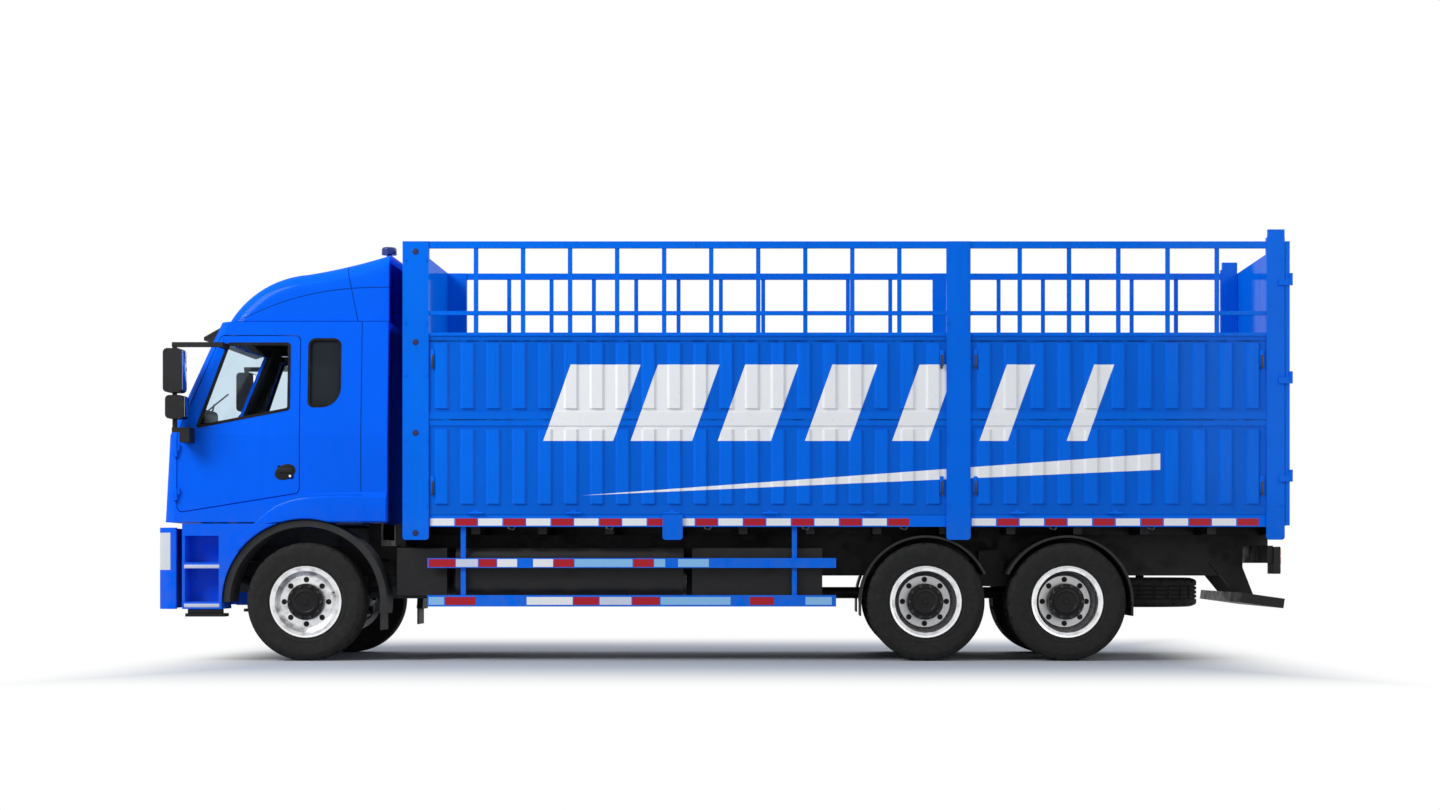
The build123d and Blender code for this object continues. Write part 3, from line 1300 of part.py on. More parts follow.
def post(x, top):
    """A left post standing on the edge rail, with a plate down over it."""
    return block(x, (-BODY_HALF, -BODY_HALF + POST_THICK), (EDGE_RAIL_TOP, top)) + foot_plate(x)


def rear_post():
    top = BODY_TOP + REAR_POST_RISE
    x = (REAR_POST_X, REAR_POST_END)
    corner = post(x, top)
    corner += block((x[0] + 15, x[1]), (-BODY_HALF + 10, -BODY_HALF + POST_THICK), (top, top + POST_CAP))
    leaf = ((x[1] - 60, REAR_HINGE_X), (-REAR_HINGE_Y - 6, -REAR_HINGE_Y + 6))
    seat = (x[1] - 60, x[1] - 10), (-REAR_HINGE_Y, -BODY_HALF)
    for z in REAR_HINGES_Z:
        corner += hinge_post(REAR_HINGE_X, -REAR_HINGE_Y, z, leaf)
        corner += block(*seat, (z - HINGE_LENGTH, z))
    return corner


def posts():
    front = post((BODY_FRONT_X, BODY_FRONT_X + FRONT_POST_WIDTH), BODY_TOP)
    middle = post((MIDDLE_POST_X, MIDDLE_POST_X + MIDDLE_POST_WIDTH), BODY_TOP)
    pocket_x = BAYS[0][0] + POCKET_SHARE * (BAYS[0][1] - BAYS[0][0])
    pocket = foot_plate((pocket_x - POCKET_WIDTH / 2, pocket_x + POCKET_WIDTH / 2))
    return [front, middle, rear_post(), pocket]


def bed_floor():
    """The boards between the edge rails, and the sill that carries the headboard."""
    x = (BODY_FRONT_X, REAR_POST_END)
    boards_x = (BODY_FRONT_X + HEADBOARD_THICK, REAR_POST_END)
    floor = block(boards_x, (-FLOOR_HALF, FLOOR_HALF), (BEAM_TOP, EDGE_RAIL_TOP))
    sill = block((x[0], boards_x[0]), (-FLOOR_HALF, FLOOR_HALF), (BEAM_TOP, EDGE_RAIL_TOP))
    rail = block(x, (-BODY_HALF + POST_PLATE, -FLOOR_HALF), (EDGE_RAIL_BOTTOM, EDGE_RAIL_TOP))
    return [floor, sill, rail, opposite(rail)]


def underframe():
    """Two sills on the frame rails, the beams across them and the bar that carries the tail lamps."""
    sill_y = (-RAIL_OUTER, -RAIL_OUTER + RAIL_FLANGE)
    sill = block((BODY_FRONT_X, REAR_POST_END), sill_y, (RAIL_TOP, SILL_TOP))
    pitch = (REAR_POST_END - BODY_FRONT_X - BED_BEAM_WIDTH) / (BED_BEAMS - 1)
    starts = [BODY_FRONT_X + pitch * beam for beam in range(BED_BEAMS)]
    beams = [block((x, x + BED_BEAM_WIDTH), (-FLOOR_HALF, FLOOR_HALF), (SILL_TOP, BEAM_TOP)) for x in starts]
    bar_y = TAIL_LAMP_Y[1] - 40
    bar = block((TAIL_LAMP_X[0] - 50, TAIL_LAMP_X[0]), (-bar_y, bar_y), (TAIL_LAMP_Z[1] - 150, RAIL_TOP))
    return [sill, opposite(sill), *beams, bar]


def headboard():
    """The front wall, ribbed towards the cab."""
    half = BODY_HALF - POST_THICK
    wall_x = (BODY_FRONT_X + RIB_PROUD, BODY_FRONT_X + HEADBOARD_THICK)
    wall = block(wall_x, (-half, half), (EDGE_RAIL_TOP, BODY_TOP))
    pitch = 2 * half / HEADBOARD_RIBS
    for n in range(HEADBOARD_RIBS):
        y = -half + pitch * (n + 0.5)
        outline = [
            (BODY_FRONT_X + RIB_PROUD, y - RIB_WIDTH / 2, EDGE_RAIL_TOP),
            (BODY_FRONT_X, y - RIB_WIDTH / 2 + RIB_SLOPE, EDGE_RAIL_TOP),
            (BODY_FRONT_X, y + RIB_WIDTH / 2 - RIB_SLOPE, EDGE_RAIL_TOP),
            (BODY_FRONT_X + RIB_PROUD, y + RIB_WIDTH / 2, EDGE_RAIL_TOP),
        ]
        face = make_face(Polyline(*outline, close=True))
        wall += extrude(face, amount=BODY_TOP - EDGE_RAIL_TOP, dir=(0, 0, 1))
    return wall


def rear_door():
    """The left rear door: a ribbed leaf with a lock rod, on lift-off hinges."""
    y = (-REAR_DOOR_EDGE, -DOOR_CLEAR)
    leaf = block(REAR_DOOR_X, y, REAR_DOOR_Z)
    rod_x_place = REAR_X - LOCK_ROD
    rod = rod_z(LOCK_ROD, rod_x_place, -LOCK_ROD_Y, (REAR_DOOR_Z[0], REAR_DOOR_Z[1]))
    keeper_y = (-LOCK_ROD_Y - 2 * LOCK_ROD, -LOCK_ROD_Y + 2 * LOCK_ROD)
    for z in REAR_HINGES_Z:
        rod += block((REAR_DOOR_X[1] - 1, rod_x_place), keeper_y, (z - 40, z + 40))
        tube_leaf = ((REAR_DOOR_X[1] - 10, REAR_HINGE_X), (-REAR_HINGE_Y - 6, -REAR_DOOR_EDGE + 2))
        leaf += hinge_tube(REAR_HINGE_X, -REAR_HINGE_Y, z, tube_leaf)
    first = -REAR_DOOR_EDGE + DOOR_RIB_MARGINS[0]
    pitch = (-LOCK_ROD_Y - DOOR_RIB_MARGINS[1] + DOOR_RIB_GAP - first) / DOOR_RIBS
    rib_x = (REAR_DOOR_X[1], REAR_DOOR_X[1] + RIB_PROUD / 2)
    for tier in RIB_TIERS:
        for n in range(DOOR_RIBS):
            low = first + n * pitch
            leaf += block(rib_x, (low, low + pitch - DOOR_RIB_GAP), tier)
    return leaf + rod


def main():
    os.makedirs("parts", exist_ok=True)

    shell = cab_shell()
    side = cab_side(shell)
    write("cab_front", cab_front(shell))
    write("cab_sides", *both_sides(side))
    roof_zone = block((NOSE_X - FAR, REAR_WALL_X), (-FAR, FAR), (CANT_Z, CAB_ROOF_Z + FAR))
    write("cab_roof", shell & roof_zone)
    write("cab_extenders", shell & block((REAR_WALL_X, CAB_REAR_X + FAR), (-FAR, FAR), (0, CAB_ROOF_Z + FAR)))
    write("cab_floor", cab_floor())
    write("cab_rear_wall", rear_wall())
    write("windscreen", glass(screen_cut(-SEAT_GAP)))
    write("quarter_windows", *both_sides(glass(quarter_window(-SEAT_GAP))))
    write("front_grille", grille())
    write("roof_fairing", roof_fairing())
    write("sun_visor", sun_visor())
    write("roof_lamps", *both_sides(roof_lamp()))
    write("seats", *both_sides(seat()))
    write("dashboard", dashboard())

    door_panel = door(shell)
    pane = glass(door_window(-SEAT_GAP))
    mirrors = mirror_set()
    for place, turn in (("left", lambda shape: shape), ("right", opposite)):
        write(f"cab_door_{place}", turn(door_panel))
        write(f"door_glass_{place}", turn(pane))
        write(f"mirrors_{place}", turn(mirrors))
        write(f"knuckle_{place}", turn(knuckle()))
        write(f"front_wheel_{place}", turn(on_axle(front_wheel(), FRONT_AXLE_X, FRONT_TRACK_HALF)))
        write(f"front_tyre_{place}", turn(on_axle(tyre(), FRONT_AXLE_X, FRONT_TRACK_HALF)))
        for axle, x in enumerate(REAR_AXLES_X, 1):
            write(f"rear_wheel_{axle}_{place}", turn(on_axle(rear_wheel(), x, REAR_TRACK_HALF)))
            twins = [on_axle(tyre(), x, REAR_TRACK_HALF + step * TWIN_SPACING / 2) for step in (-1, 1)]
            write(f"rear_tyres_{axle}_{place}", *[turn(shape) for shape in twins])
        write(f"rear_door_{place}", turn(rear_door()))
    write("tie_rod", tie_rod())

    write("front_bumper", bumper())
    write("headlamps", *both_sides(headlamp()))
    write("cab_steps", *both_sides(step_unit()))
    write("low_steps", *both_sides(low_step()))
    guards = [front_guard(), rear_guard(REAR_AXLES_X[0], 25, 180, -1), rear_guard(REAR_AXLES_X[1], 0, 155, 1)]
    write("mudguards", *[shape for guard in guards for shape in both_sides(guard)])
    write("frame_rails", *both_sides(frame_rail()))
    write("frame_crossmembers", *crossmembers())
    write("engine", engine())
    write("axles", front_axle(), *[rear_axle(x) for x in REAR_AXLES_X])
    write("leaf_springs", *both_sides(front_spring()), *both_sides(bogie_spring()))
    write("drive_shafts", *drive_shafts())
    write("fuel_tank", side_box(TANK_X, TANK_CORNER))
    left_boxes = [side_box(BATTERY_X, BOX_CORNER), side_box(TOOL_BOX_X, BOX_CORNER)]
    write("frame_boxes", *left_boxes, opposite(side_box(SILENCER_X, SILENCER_CORNER)), *air_tanks())
    write("side_guards", *both_sides(side_guard()))
    write("rear_underrun", underrun())
    write("tail_lamps", *both_sides(tail_lamp()))
    write("spare_wheel", *spare_wheel())

    write("bed_underframe", *underframe())
    write("bed_floor", *bed_floor())
    write("bed_posts", *[shape for upright in posts() for shape in both_sides(upright)])
    write("headboard", headboard())
    write("side_panels", *[shape for bay in BAYS for shape in both_sides(side_panel(bay))])
    grilles = [side_grille(bay, bars) for bay, bars in zip(BAYS, BAY_BARS)]
    write("side_grilles", *[shape for each in grilles for shape in both_sides(each)])


if __name__ == "__main__":
    main()
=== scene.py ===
"""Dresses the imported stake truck: paint, tyres, wheel fittings, lamps, marker tape, cab trim and seats."""

import math

import bmesh
import bpy
from mathutils import Matrix, Vector


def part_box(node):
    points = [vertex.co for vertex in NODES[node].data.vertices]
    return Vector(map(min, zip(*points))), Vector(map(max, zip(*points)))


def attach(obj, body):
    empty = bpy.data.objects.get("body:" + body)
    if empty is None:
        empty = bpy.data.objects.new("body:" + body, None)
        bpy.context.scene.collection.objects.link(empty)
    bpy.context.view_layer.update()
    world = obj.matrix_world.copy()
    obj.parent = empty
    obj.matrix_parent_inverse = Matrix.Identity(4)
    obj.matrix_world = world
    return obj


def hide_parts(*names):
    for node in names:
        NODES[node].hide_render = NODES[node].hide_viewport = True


bl_info = {
    "name": "Stake truck dressing",
    "version": (1, 0, 0),
    "blender": (4, 5, 0),
    "location": "View3D > Sidebar > Truck",
    "description": "Paint, tyres, lamps, tape and cab fittings for the packed stake truck",
    "category": "Object",
}

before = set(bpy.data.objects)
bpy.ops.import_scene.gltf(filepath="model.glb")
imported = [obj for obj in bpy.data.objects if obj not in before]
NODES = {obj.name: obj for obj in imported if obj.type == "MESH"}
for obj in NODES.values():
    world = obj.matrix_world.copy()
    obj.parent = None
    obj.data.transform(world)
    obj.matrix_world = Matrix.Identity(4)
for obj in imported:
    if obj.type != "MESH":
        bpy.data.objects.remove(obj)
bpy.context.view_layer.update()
SIDES = (("left", -1), ("right", 1))

# Places that the solids give
FRONT_AXLE_X = -3.85
REAR_AXLES_X = (1.85, 3.15)
AXLE_Z = 0.543
FRONT_TRACK = 1.06
REAR_TRACK = 0.92
TWIN_HALF = 0.16
CAB_SIDE_Y = 1.225
SCREEN_FOOT_X = -5.150
BELT_Z = 2.08
SIDE_LEAN = 0.075 / 1.042
SCREEN_LEAN = 0.4415


class TruckPaint(bpy.types.PropertyGroup):
    cab: bpy.props.FloatVectorProperty(
        name="Cab paint",
        description="Colour of the cab, bumper and steps",
        subtype="COLOR",
        default=(0.0005, 0.117, 0.88),
        min=0,
        max=1,
    )
    body: bpy.props.FloatVectorProperty(
        name="Body paint",
        description="Colour of the stake body's panels, posts and grilles",
        subtype="COLOR",
        default=(0.0005, 0.150, 0.83),
        min=0,
        max=1,
    )
    stripe: bpy.props.FloatVectorProperty(
        name="Stripe paint",
        description="Colour of the slanted bars and the tapered stripe on the panels",
        subtype="COLOR",
        default=(0.86, 0.87, 0.88),
        min=0,
        max=1,
    )
    chassis: bpy.props.FloatVectorProperty(
        name="Chassis paint",
        description="Colour of the frame, axles and springs",
        subtype="COLOR",
        default=(0.008, 0.008, 0.009),
        min=0,
        max=1,
    )


class TruckSizes(bpy.types.PropertyGroup):
    tyre_radius: bpy.props.FloatProperty(
        name="Tyre radius",
        description="Rolling radius of every tyre",
        subtype="DISTANCE",
        default=0.5428,
    )
    tyre_half_width: bpy.props.FloatProperty(
        name="Tyre half width",
        description="Half the section width of a tyre",
        subtype="DISTANCE",
        default=0.1395,
    )
    tread_depth: bpy.props.FloatProperty(
        name="Tread depth",
        description="Depth of the tread's grooves",
        subtype="DISTANCE",
        default=0.014,
    )
    tape_height: bpy.props.FloatProperty(
        name="Tape height",
        description="Height of the marker tape on the edge rail",
        subtype="DISTANCE",
        default=0.066,
    )
    seal_width: bpy.props.FloatProperty(
        name="Seal width",
        description="Width of the rubber round a cab window",
        subtype="DISTANCE",
        default=0.026,
    )


class TruckStage(bpy.types.PropertyGroup):
    floor: bpy.props.FloatVectorProperty(
        name="Floor",
        description="Colour of the floor and backdrop",
        subtype="COLOR",
        default=(0.43, 0.455, 0.49),
        min=0,
        max=1,
    )
    lens: bpy.props.FloatProperty(
        name="Lens",
        description="Focal length of the camera in millimetres",
        default=60.0,
    )
    distance: bpy.props.FloatProperty(
        name="Distance",
        description="How far the camera stands from the truck's middle plane",
        subtype="DISTANCE",
        default=23.25,
    )


def sizes():
    return bpy.context.scene.truck_sizes


class Nodes:
    """A node tree, and short calls that add nodes to it and join them."""

    def __init__(self, tree):
        self.tree = tree

    def node(self, kind, inputs=None, **settings):
        made = self.tree.nodes.new(kind)
        for key, value in settings.items():
            setattr(made, key, value)
        for socket, value in (inputs or {}).items():
            self.join(value, made.inputs[socket])
        return made

    def join(self, value, socket):
        if isinstance(value, bpy.types.NodeSocket):
            self.tree.links.new(value, socket)
        else:
            socket.default_value = value

    def math(self, operation, first, second=0.0):
        return self.node("ShaderNodeMath", {0: first, 1: second}, operation=operation).outputs[0]

    def seen(self):
        """1 for what the camera, a reflection or glass sees, 0 for what lights."""
        path = self.node("ShaderNodeLightPath").outputs
        direct = self.math("MAXIMUM", path["Is Camera Ray"], path["Is Glossy Ray"])
        return self.math("MAXIMUM", direct, path["Is Transmission Ray"])

    def surface(self, share, first, second, output):
        """Leads a mix of two shaders to the tree's output."""
        mixed = self.node("ShaderNodeMixShader", {0: share, 1: first.outputs[0], 2: second.outputs[0]})
        self.join(mixed.outputs[0], self.tree.nodes[output].inputs["Surface"])


class Finish(Nodes):
    """A material, and the kinds of nodes that its look is made from."""

    def __init__(self, name, colour, roughness, metallic=0.0):
        self.material = bpy.data.materials.new(name)
        self.material.use_nodes = True
        super().__init__(self.material.node_tree)
        self.shader = self.tree.nodes["Principled BSDF"]
        self.put("Base Color", (*colour[:3], 1.0))
        self.put("Roughness", roughness)
        self.put("Metallic", metallic)
        self.place = self.node("ShaderNodeTexCoord").outputs["Object"]

    def put(self, socket, value):
        self.join(value, self.shader.inputs[socket])

    def painted(self):
        """The colour that reaches the shader so far."""
        return self.shader.inputs["Base Color"].links[0].from_socket

    def axes(self):
        return self.node("ShaderNodeSeparateXYZ", {0: self.place}).outputs

    def noise(self, scale, stretch=(1, 1, 1), detail=3.0, rough=0.55):
        turn = self.node("ShaderNodeMapping", {"Scale": stretch, "Vector": self.place})
        inputs = {"Scale": scale, "Detail": detail, "Roughness": rough, "Vector": turn.outputs[0]}
        return self.node("ShaderNodeTexNoise", inputs).outputs["Fac"]

    def ramp(self, value, low, high, start=0.0, end=1.0, **settings):
        inputs = {"Value": value, "From Min": low, "From Max": high, "To Min": start, "To Max": end}
        return self.node("ShaderNodeMapRange", inputs, **settings).outputs["Result"]

    def mix(self, share, first, second):
        inputs = {"Factor": share}
        for socket, value in ((6, first), (7, second)):
            inputs[socket] = value if isinstance(value, bpy.types.NodeSocket) else (*value[:3], 1.0)
        return self.node("ShaderNodeMix", inputs, data_type="RGBA").outputs[2]

    def bump(self, height, strength, distance):
        made = self.node("ShaderNodeBump", {"Strength": strength, "Distance": distance, "Height": height})
        self.put("Normal", made.outputs["Normal"])

    def near(self, value, middle, half):
        """1 where a value lies within a half width of its middle."""
        return self.math("LESS_THAN", self.math("ABSOLUTE", self.math("SUBTRACT", value, middle)), half)

    def between(self, mask, value, low=None, high=None):
        """A mask that is kept only where a value lies between its limits."""
        for test, limit in (("GREATER_THAN", low), ("LESS_THAN", high)):
            if limit is not None:
                mask = self.math("MULTIPLY", mask, self.math(test, value, limit))
        return mask


def shaded(colour, share):
    return tuple(channel * share for channel in colour[:3])


ROAD_DUST = (0.16, 0.145, 0.12)
# The heights between which the dust thins out
DUST_HEIGHTS = (0.45, 1.5)


def paint_finish(name, colour, roughness, dust, streaks):
    """Sprayed paint: a little unevenness, orange peel, and road dust that thins out upwards."""
    look = Finish(name, colour, roughness)
    cloud = look.noise(1.3)
    runs = look.noise(2.2, (6, 6, 0.35), detail=5)
    tone = look.mix(look.ramp(cloud, 0.3, 0.7, 0, 0.7), colour, shaded(colour, 0.86))
    tone = look.mix(look.ramp(runs, 0.55, 0.8, 0, streaks), tone, shaded(colour, 0.55))
    height = look.ramp(look.axes()[2], *DUST_HEIGHTS, 1, 0)
    grime = look.math("MULTIPLY", height, look.ramp(look.noise(9), 0.35, 0.75, 0, dust))
    look.put("Base Color", look.mix(grime, tone, ROAD_DUST))
    look.put("Roughness", look.ramp(runs, 0.2, 0.8, roughness - 0.05, roughness + 0.09))
    look.put("Specular IOR Level", 0.0)
    look.put("Coat Weight", 0.10)
    look.put("Coat Roughness", 0.10)
    look.bump(look.noise(160, detail=2), 0.03, 0.001)
    return look


# Shut lines are this wide to each side, and darker than the paint by this share
SEAM_HALF = 0.0045
SEAM_SHADE = 0.3

# The dark lining within the cab's walls: its colour, and the planes that it lies between
WALL = 0.062
LINING = (0.017, 0.018, 0.020)
LINING_SIDE = CAB_SIDE_Y - WALL + 0.004
LINING_FRONT = SCREEN_FOOT_X + WALL
LINING_REAR = -3.384
LINING_Z = (1.334, 3.063)

# The shut line ahead of the cab's side extender, and the heights that it runs between
CAB_SEAM_X = -3.3365
CAB_SEAM_Z = (1.560, 3.122)


def cab_finish(colour):
    """The cab's paint and shut line outside, and a dark lining on every face within the cab's walls."""
    look = paint_finish("cab_shell", colour, 0.26, 0.25, 0.12)
    painted = look.painted()
    x, y, z = look.axes()
    rise = look.math("MAXIMUM", look.math("SUBTRACT", z, BELT_Z), 0.0)
    depth = look.math("ADD", look.math("ABSOLUTE", y), look.math("MULTIPLY", rise, SIDE_LEAN))
    front = look.math("SUBTRACT", x, look.math("MULTIPLY", rise, SCREEN_LEAN))
    inside = look.math("LESS_THAN", depth, LINING_SIDE)
    inside = look.between(inside, front, LINING_FRONT)
    inside = look.between(inside, x, high=LINING_REAR)
    inside = look.between(inside, z, *LINING_Z)
    cloth = look.mix(look.ramp(look.noise(60, detail=4), 0.35, 0.7), LINING, shaded(LINING, 0.6))
    seam = look.near(x, CAB_SEAM_X, SEAM_HALF)
    seam = look.between(seam, depth, CAB_SIDE_Y - SEAM_HALF)
    seam = look.between(seam, z, *CAB_SEAM_Z)
    outside = look.mix(seam, painted, shaded(colour, SEAM_SHADE))
    look.put("Base Color", look.mix(inside, outside, cloth))
    return look


# The shut line of the fairing's rear section as (x, z, lean), the line along the fairing's foot, and the
# painted shade line on the crease on its side as the start's (x, z), its length, its rise and how fast it
# levels off
FAIRING_SEAM = (-3.376, 3.111, 0.2016)
FAIRING_FOOT_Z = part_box("roof_fairing")[0][2] + 0.009
FAIRING_CREASE = (-4.470, 3.133)
FAIRING_CREASE_SIZE = (1.372, 0.309)
FAIRING_CREASE_LEVEL = 2.4


def fairing_finish(colour):
    """The roof fairing's paint with its shut lines, and a painted shade line along the crease on its sides.
    """
    look = paint_finish("fairing_paint", colour, 0.24, 0.0, 0.08)
    painted = look.painted()
    x, _, z = look.axes()
    lean = look.math("MULTIPLY", look.math("SUBTRACT", z, FAIRING_SEAM[1]), FAIRING_SEAM[2])
    seam = look.near(look.math("ADD", x, lean), FAIRING_SEAM[0], SEAM_HALF)
    foot = look.math("LESS_THAN", z, FAIRING_FOOT_Z)
    along = look.math("DIVIDE", look.math("SUBTRACT", x, FAIRING_CREASE[0]), FAIRING_CREASE_SIZE[0])
    left = look.math("MAXIMUM", look.math("SUBTRACT", 1.0, along), 0.0)
    level = look.math("SUBTRACT", 1.0, look.math("POWER", left, FAIRING_CREASE_LEVEL))
    crease_z = look.math("ADD", look.math("MULTIPLY", level, FAIRING_CREASE_SIZE[1]), FAIRING_CREASE[1])
    # Painted shade: a dark line where the fairing's side folds at the crease
    crease = look.between(look.near(z, crease_z, SEAM_HALF), along, 0.0)
    line = look.math("MAXIMUM", seam, look.math("MAXIMUM", foot, crease))
    look.put("Base Color", look.mix(line, painted, shaded(colour, SEAM_SHADE)))
    return look


# The slanted bars on the panels: the first one's lower corner, and the share of the pitch that a bar fills
BAR_COUNT = 7
BAR_PITCH = 0.80
BAR_START = (-1.66, 2.02)
BAR_HEIGHT = 0.70
BAR_SLANT = 0.36
BAR_FILL = 0.80
BAR_NARROWING = 0.095
# The stripe below them: its middle line's ends as (x, z) and its half height at the wide end
STRIPE_START = (-1.30, 1.52)
STRIPE_END = (4.00, 1.83)
STRIPE_HALF = 0.075
# How far out from the middle plane the bars and the stripe begin
LIVERY_OUT = 1.195


def livery_mask(look):
    """White where slanted bars, each narrower than the last, and a tapered stripe below them are painted."""
    x, y, z = look.axes()
    lean = look.math("MULTIPLY", look.math("SUBTRACT", z, BAR_START[1]), BAR_SLANT)
    step = look.math("SUBTRACT", look.math("SUBTRACT", x, lean), BAR_START[0])
    step = look.math("DIVIDE", step, BAR_PITCH)
    width = look.math("SUBTRACT", BAR_FILL, look.math("MULTIPLY", look.math("FLOOR", step), BAR_NARROWING))
    bars = look.math("LESS_THAN", look.math("FRACT", step), width)
    bars = look.between(bars, step, 0.0, float(BAR_COUNT))
    bars = look.between(bars, z, BAR_START[1], BAR_START[1] + BAR_HEIGHT)
    along = look.ramp(x, STRIPE_START[0], STRIPE_END[0])
    middle = look.ramp(along, 0, 1, STRIPE_START[1], STRIPE_END[1])
    stripe = look.near(z, middle, look.ramp(along, 0, 1, 0.0, STRIPE_HALF))
    stripe = look.between(stripe, x, STRIPE_START[0], STRIPE_END[0])
    return look.between(look.math("MAXIMUM", bars, stripe), look.math("ABSOLUTE", y), LIVERY_OUT)


# How far out the panels' sunk faces and ribs lie, with painted shade on the sunk faces, and the painted
# shadow
# lines along the panels: each one's height, its half width and how dark it gets
PANEL_FACES = (1.2325, 1.2465)
PANEL_SHADOW_LINES = ((2.214, 0.007, 0.85), (2.936, 0.009, 0.8))


def panel_finish(colour, stripe):
    """The body's paint, with painted shade between the ribs and painted shadow lines, and the livery laid
    over it, ribs and all.
    """
    look = paint_finish("panel_paint", colour, 0.36, 0.25, 0.35)
    y, z = look.axes()[1:]
    # Painted shade: the sunk faces between the ribs are darker than the rib crowns
    recess_shade = look.ramp(look.math("ABSOLUTE", y), *PANEL_FACES, 0.24, 0)
    painted = look.mix(recess_shade, look.painted(), shaded(colour, 0.25))
    # Painted shadow: broken dark lines along the panels at two heights
    for height, half, share in PANEL_SHADOW_LINES:
        broken = look.ramp(look.noise(7, (1, 0.1, 0.1)), 0.38, 0.56, 0.25, share)
        line = look.math("MULTIPLY", look.near(z, height, half), broken)
        painted = look.mix(line, painted, shaded(colour, 0.18))
    wear = look.ramp(look.noise(30, detail=6), 0.62, 0.75, 0, 0.5)
    worn = look.mix(wear, stripe, shaded(stripe, 0.72))
    look.put("Base Color", look.mix(livery_mask(look), painted, worn))
    return look


def rubber_finish(name, colour):
    """Dull rubber, dusty in patches."""
    look = Finish(name, colour, 0.82)
    look.put("Specular IOR Level", 0.15)
    dusty = look.ramp(look.noise(14, detail=5), 0.4, 0.75, 0, 0.45)
    look.put("Base Color", look.mix(dusty, colour, (0.034, 0.032, 0.029)))
    look.put("Roughness", look.ramp(look.noise(40), 0.3, 0.7, 0.72, 0.92))
    look.bump(look.noise(420, detail=2), 0.25, 0.001)
    return look


def plastic_finish(name, colour, roughness=0.5):
    """Grained moulding, a little faded on broad faces."""
    look = Finish(name, colour, roughness)
    look.put("Specular IOR Level", 0.2)
    faded = tuple(channel * 1.6 + 0.004 for channel in colour[:3])
    fading = look.ramp(look.noise(5, detail=4), 0.35, 0.7, 0, 0.6)
    look.put("Base Color", look.mix(fading, colour, faded))
    look.put("Roughness", look.ramp(look.noise(60), 0.3, 0.7, roughness - 0.06, roughness + 0.08))
    look.bump(look.noise(700, detail=1), 0.18, 0.0008)
    return look


def chassis_finish(name, colour):
    """Frame paint or bare iron with dried road dirt in patches."""
    look = Finish(name, colour, 0.55)
    look.put("Specular IOR Level", 0.2)
    dirt = look.ramp(look.noise(6, detail=6, rough=0.65), 0.48, 0.72, 0, 0.55)
    look.put("Base Color", look.mix(dirt, colour, (0.030, 0.027, 0.023)))
    look.put("Roughness", look.ramp(dirt, 0, 0.55, 0.45, 0.8))
    look.bump(look.noise(90, detail=4), 0.15, 0.002)
    return look


# Painted shade on the rear wheels' discs: how far out they lie at their deepest, where the shade is darkest,
# and where they are as bright as the rims
DISH_SHADE_DEPTHS = (0.98, 1.09)


def metal_finish(name, colour, roughness, grime=0.3, dish_shade=0.0):
    """Scratched metal with dull patches, and painted shade on the rear wheels' deep discs by the shade
    share.
    """
    look = Finish(name, colour, roughness, 1.0)
    scratches = look.noise(130, detail=4)
    dull = look.ramp(look.noise(11, detail=5), 0.45, 0.75, 0, grime)
    # Painted shade: the rear wheels' discs get darker the deeper they lie inside the rim, on top of the dull
    # patches
    if dish_shade:
        deep = look.ramp(look.math("ABSOLUTE", look.axes()[1]), *DISH_SHADE_DEPTHS, dish_shade, 0)
        dull = look.math("MAXIMUM", dull, deep)
    look.put("Base Color", look.mix(dull, colour, shaded(colour, 0.30)))
    look.put("Roughness", look.ramp(scratches, 0.25, 0.75, roughness - 0.08, roughness + 0.14))
    look.bump(scratches, 0.08, 0.0008)
    return look


def glass_finish(name, tint, share):
    """Thin tinted glass with a film of dust; the share of light goes through it."""
    look = Finish(name, tint, 0.03)
    look.put("Transmission Weight", share)
    look.put("IOR", 1.05)
    look.put("Specular IOR Level", 0.9)
    film = look.ramp(look.noise(4, detail=5), 0.45, 0.8, 0, 0.25)
    look.put("Base Color", look.mix(film, tint, shaded(tint, 0.8)))
    return look


def lens_finish(name, colour, roughness=0.12, coat=0.5):
    """Moulded lamp plastic with fine upright flutes."""
    look = Finish(name, colour, roughness)
    look.put("Specular IOR Level", 0.3)
    inputs = {"Scale": 40, "Vector": look.place}
    flutes = look.node("ShaderNodeTexWave", inputs, bands_direction="Y").outputs["Fac"]
    look.put("Base Color", look.mix(look.ramp(flutes, 0, 1, 0, 0.25), colour, shaded(colour, 0.6)))
    look.put("Coat Weight", coat)
    look.bump(flutes, 0.3, 0.002)
    return look


def tape_finish(name, colour):
    """Marker tape with the small cells of its reflecting film."""
    look = Finish(name, colour, 0.35)
    inputs = {"Scale": 140, "Vector": look.place}
    cells = look.node("ShaderNodeTexVoronoi", inputs, feature="DISTANCE_TO_EDGE").outputs["Distance"]
    edge = look.math("MULTIPLY", look.ramp(cells, 0.02, 0.12, 1, 0), 0.4)
    look.put("Base Color", look.mix(edge, colour, shaded(colour, 0.7)))
    look.put("Specular IOR Level", 0.25)
    look.bump(cells, 0.1, 0.0006)
    return look


# The load floor's boards: how far out they go, the width of each, and the share of it that is the gap
BOARDS_HALF = 1.1245
BOARD_WIDTH = 0.19
BOARD_GAP = 0.03


def board_finish(paint):
    """Worn boards that run along the load floor, between painted edge rails."""
    look = Finish("floor_boards", (0.16, 0.10, 0.055), 0.75)
    grain = look.noise(9, (0.35, 9, 9), detail=6)
    tone = look.mix(look.ramp(grain, 0.3, 0.7), (0.10, 0.064, 0.036), (0.22, 0.15, 0.085))
    y = look.axes()[1]
    across = look.math("FRACT", look.math("DIVIDE", look.math("ADD", y, 2.0), BOARD_WIDTH))
    boards = look.mix(look.math("LESS_THAN", across, BOARD_GAP), tone, (0.02, 0.014, 0.01))
    rail = look.math("GREATER_THAN", look.math("ABSOLUTE", y), BOARDS_HALF)
    look.put("Base Color", look.mix(rail, boards, paint))
    look.put("Specular IOR Level", 0.1)
    look.bump(grain, 0.2, 0.002)
    return look


# How many radians of the cloth's weave fill a metre
WEAVE = 900.0


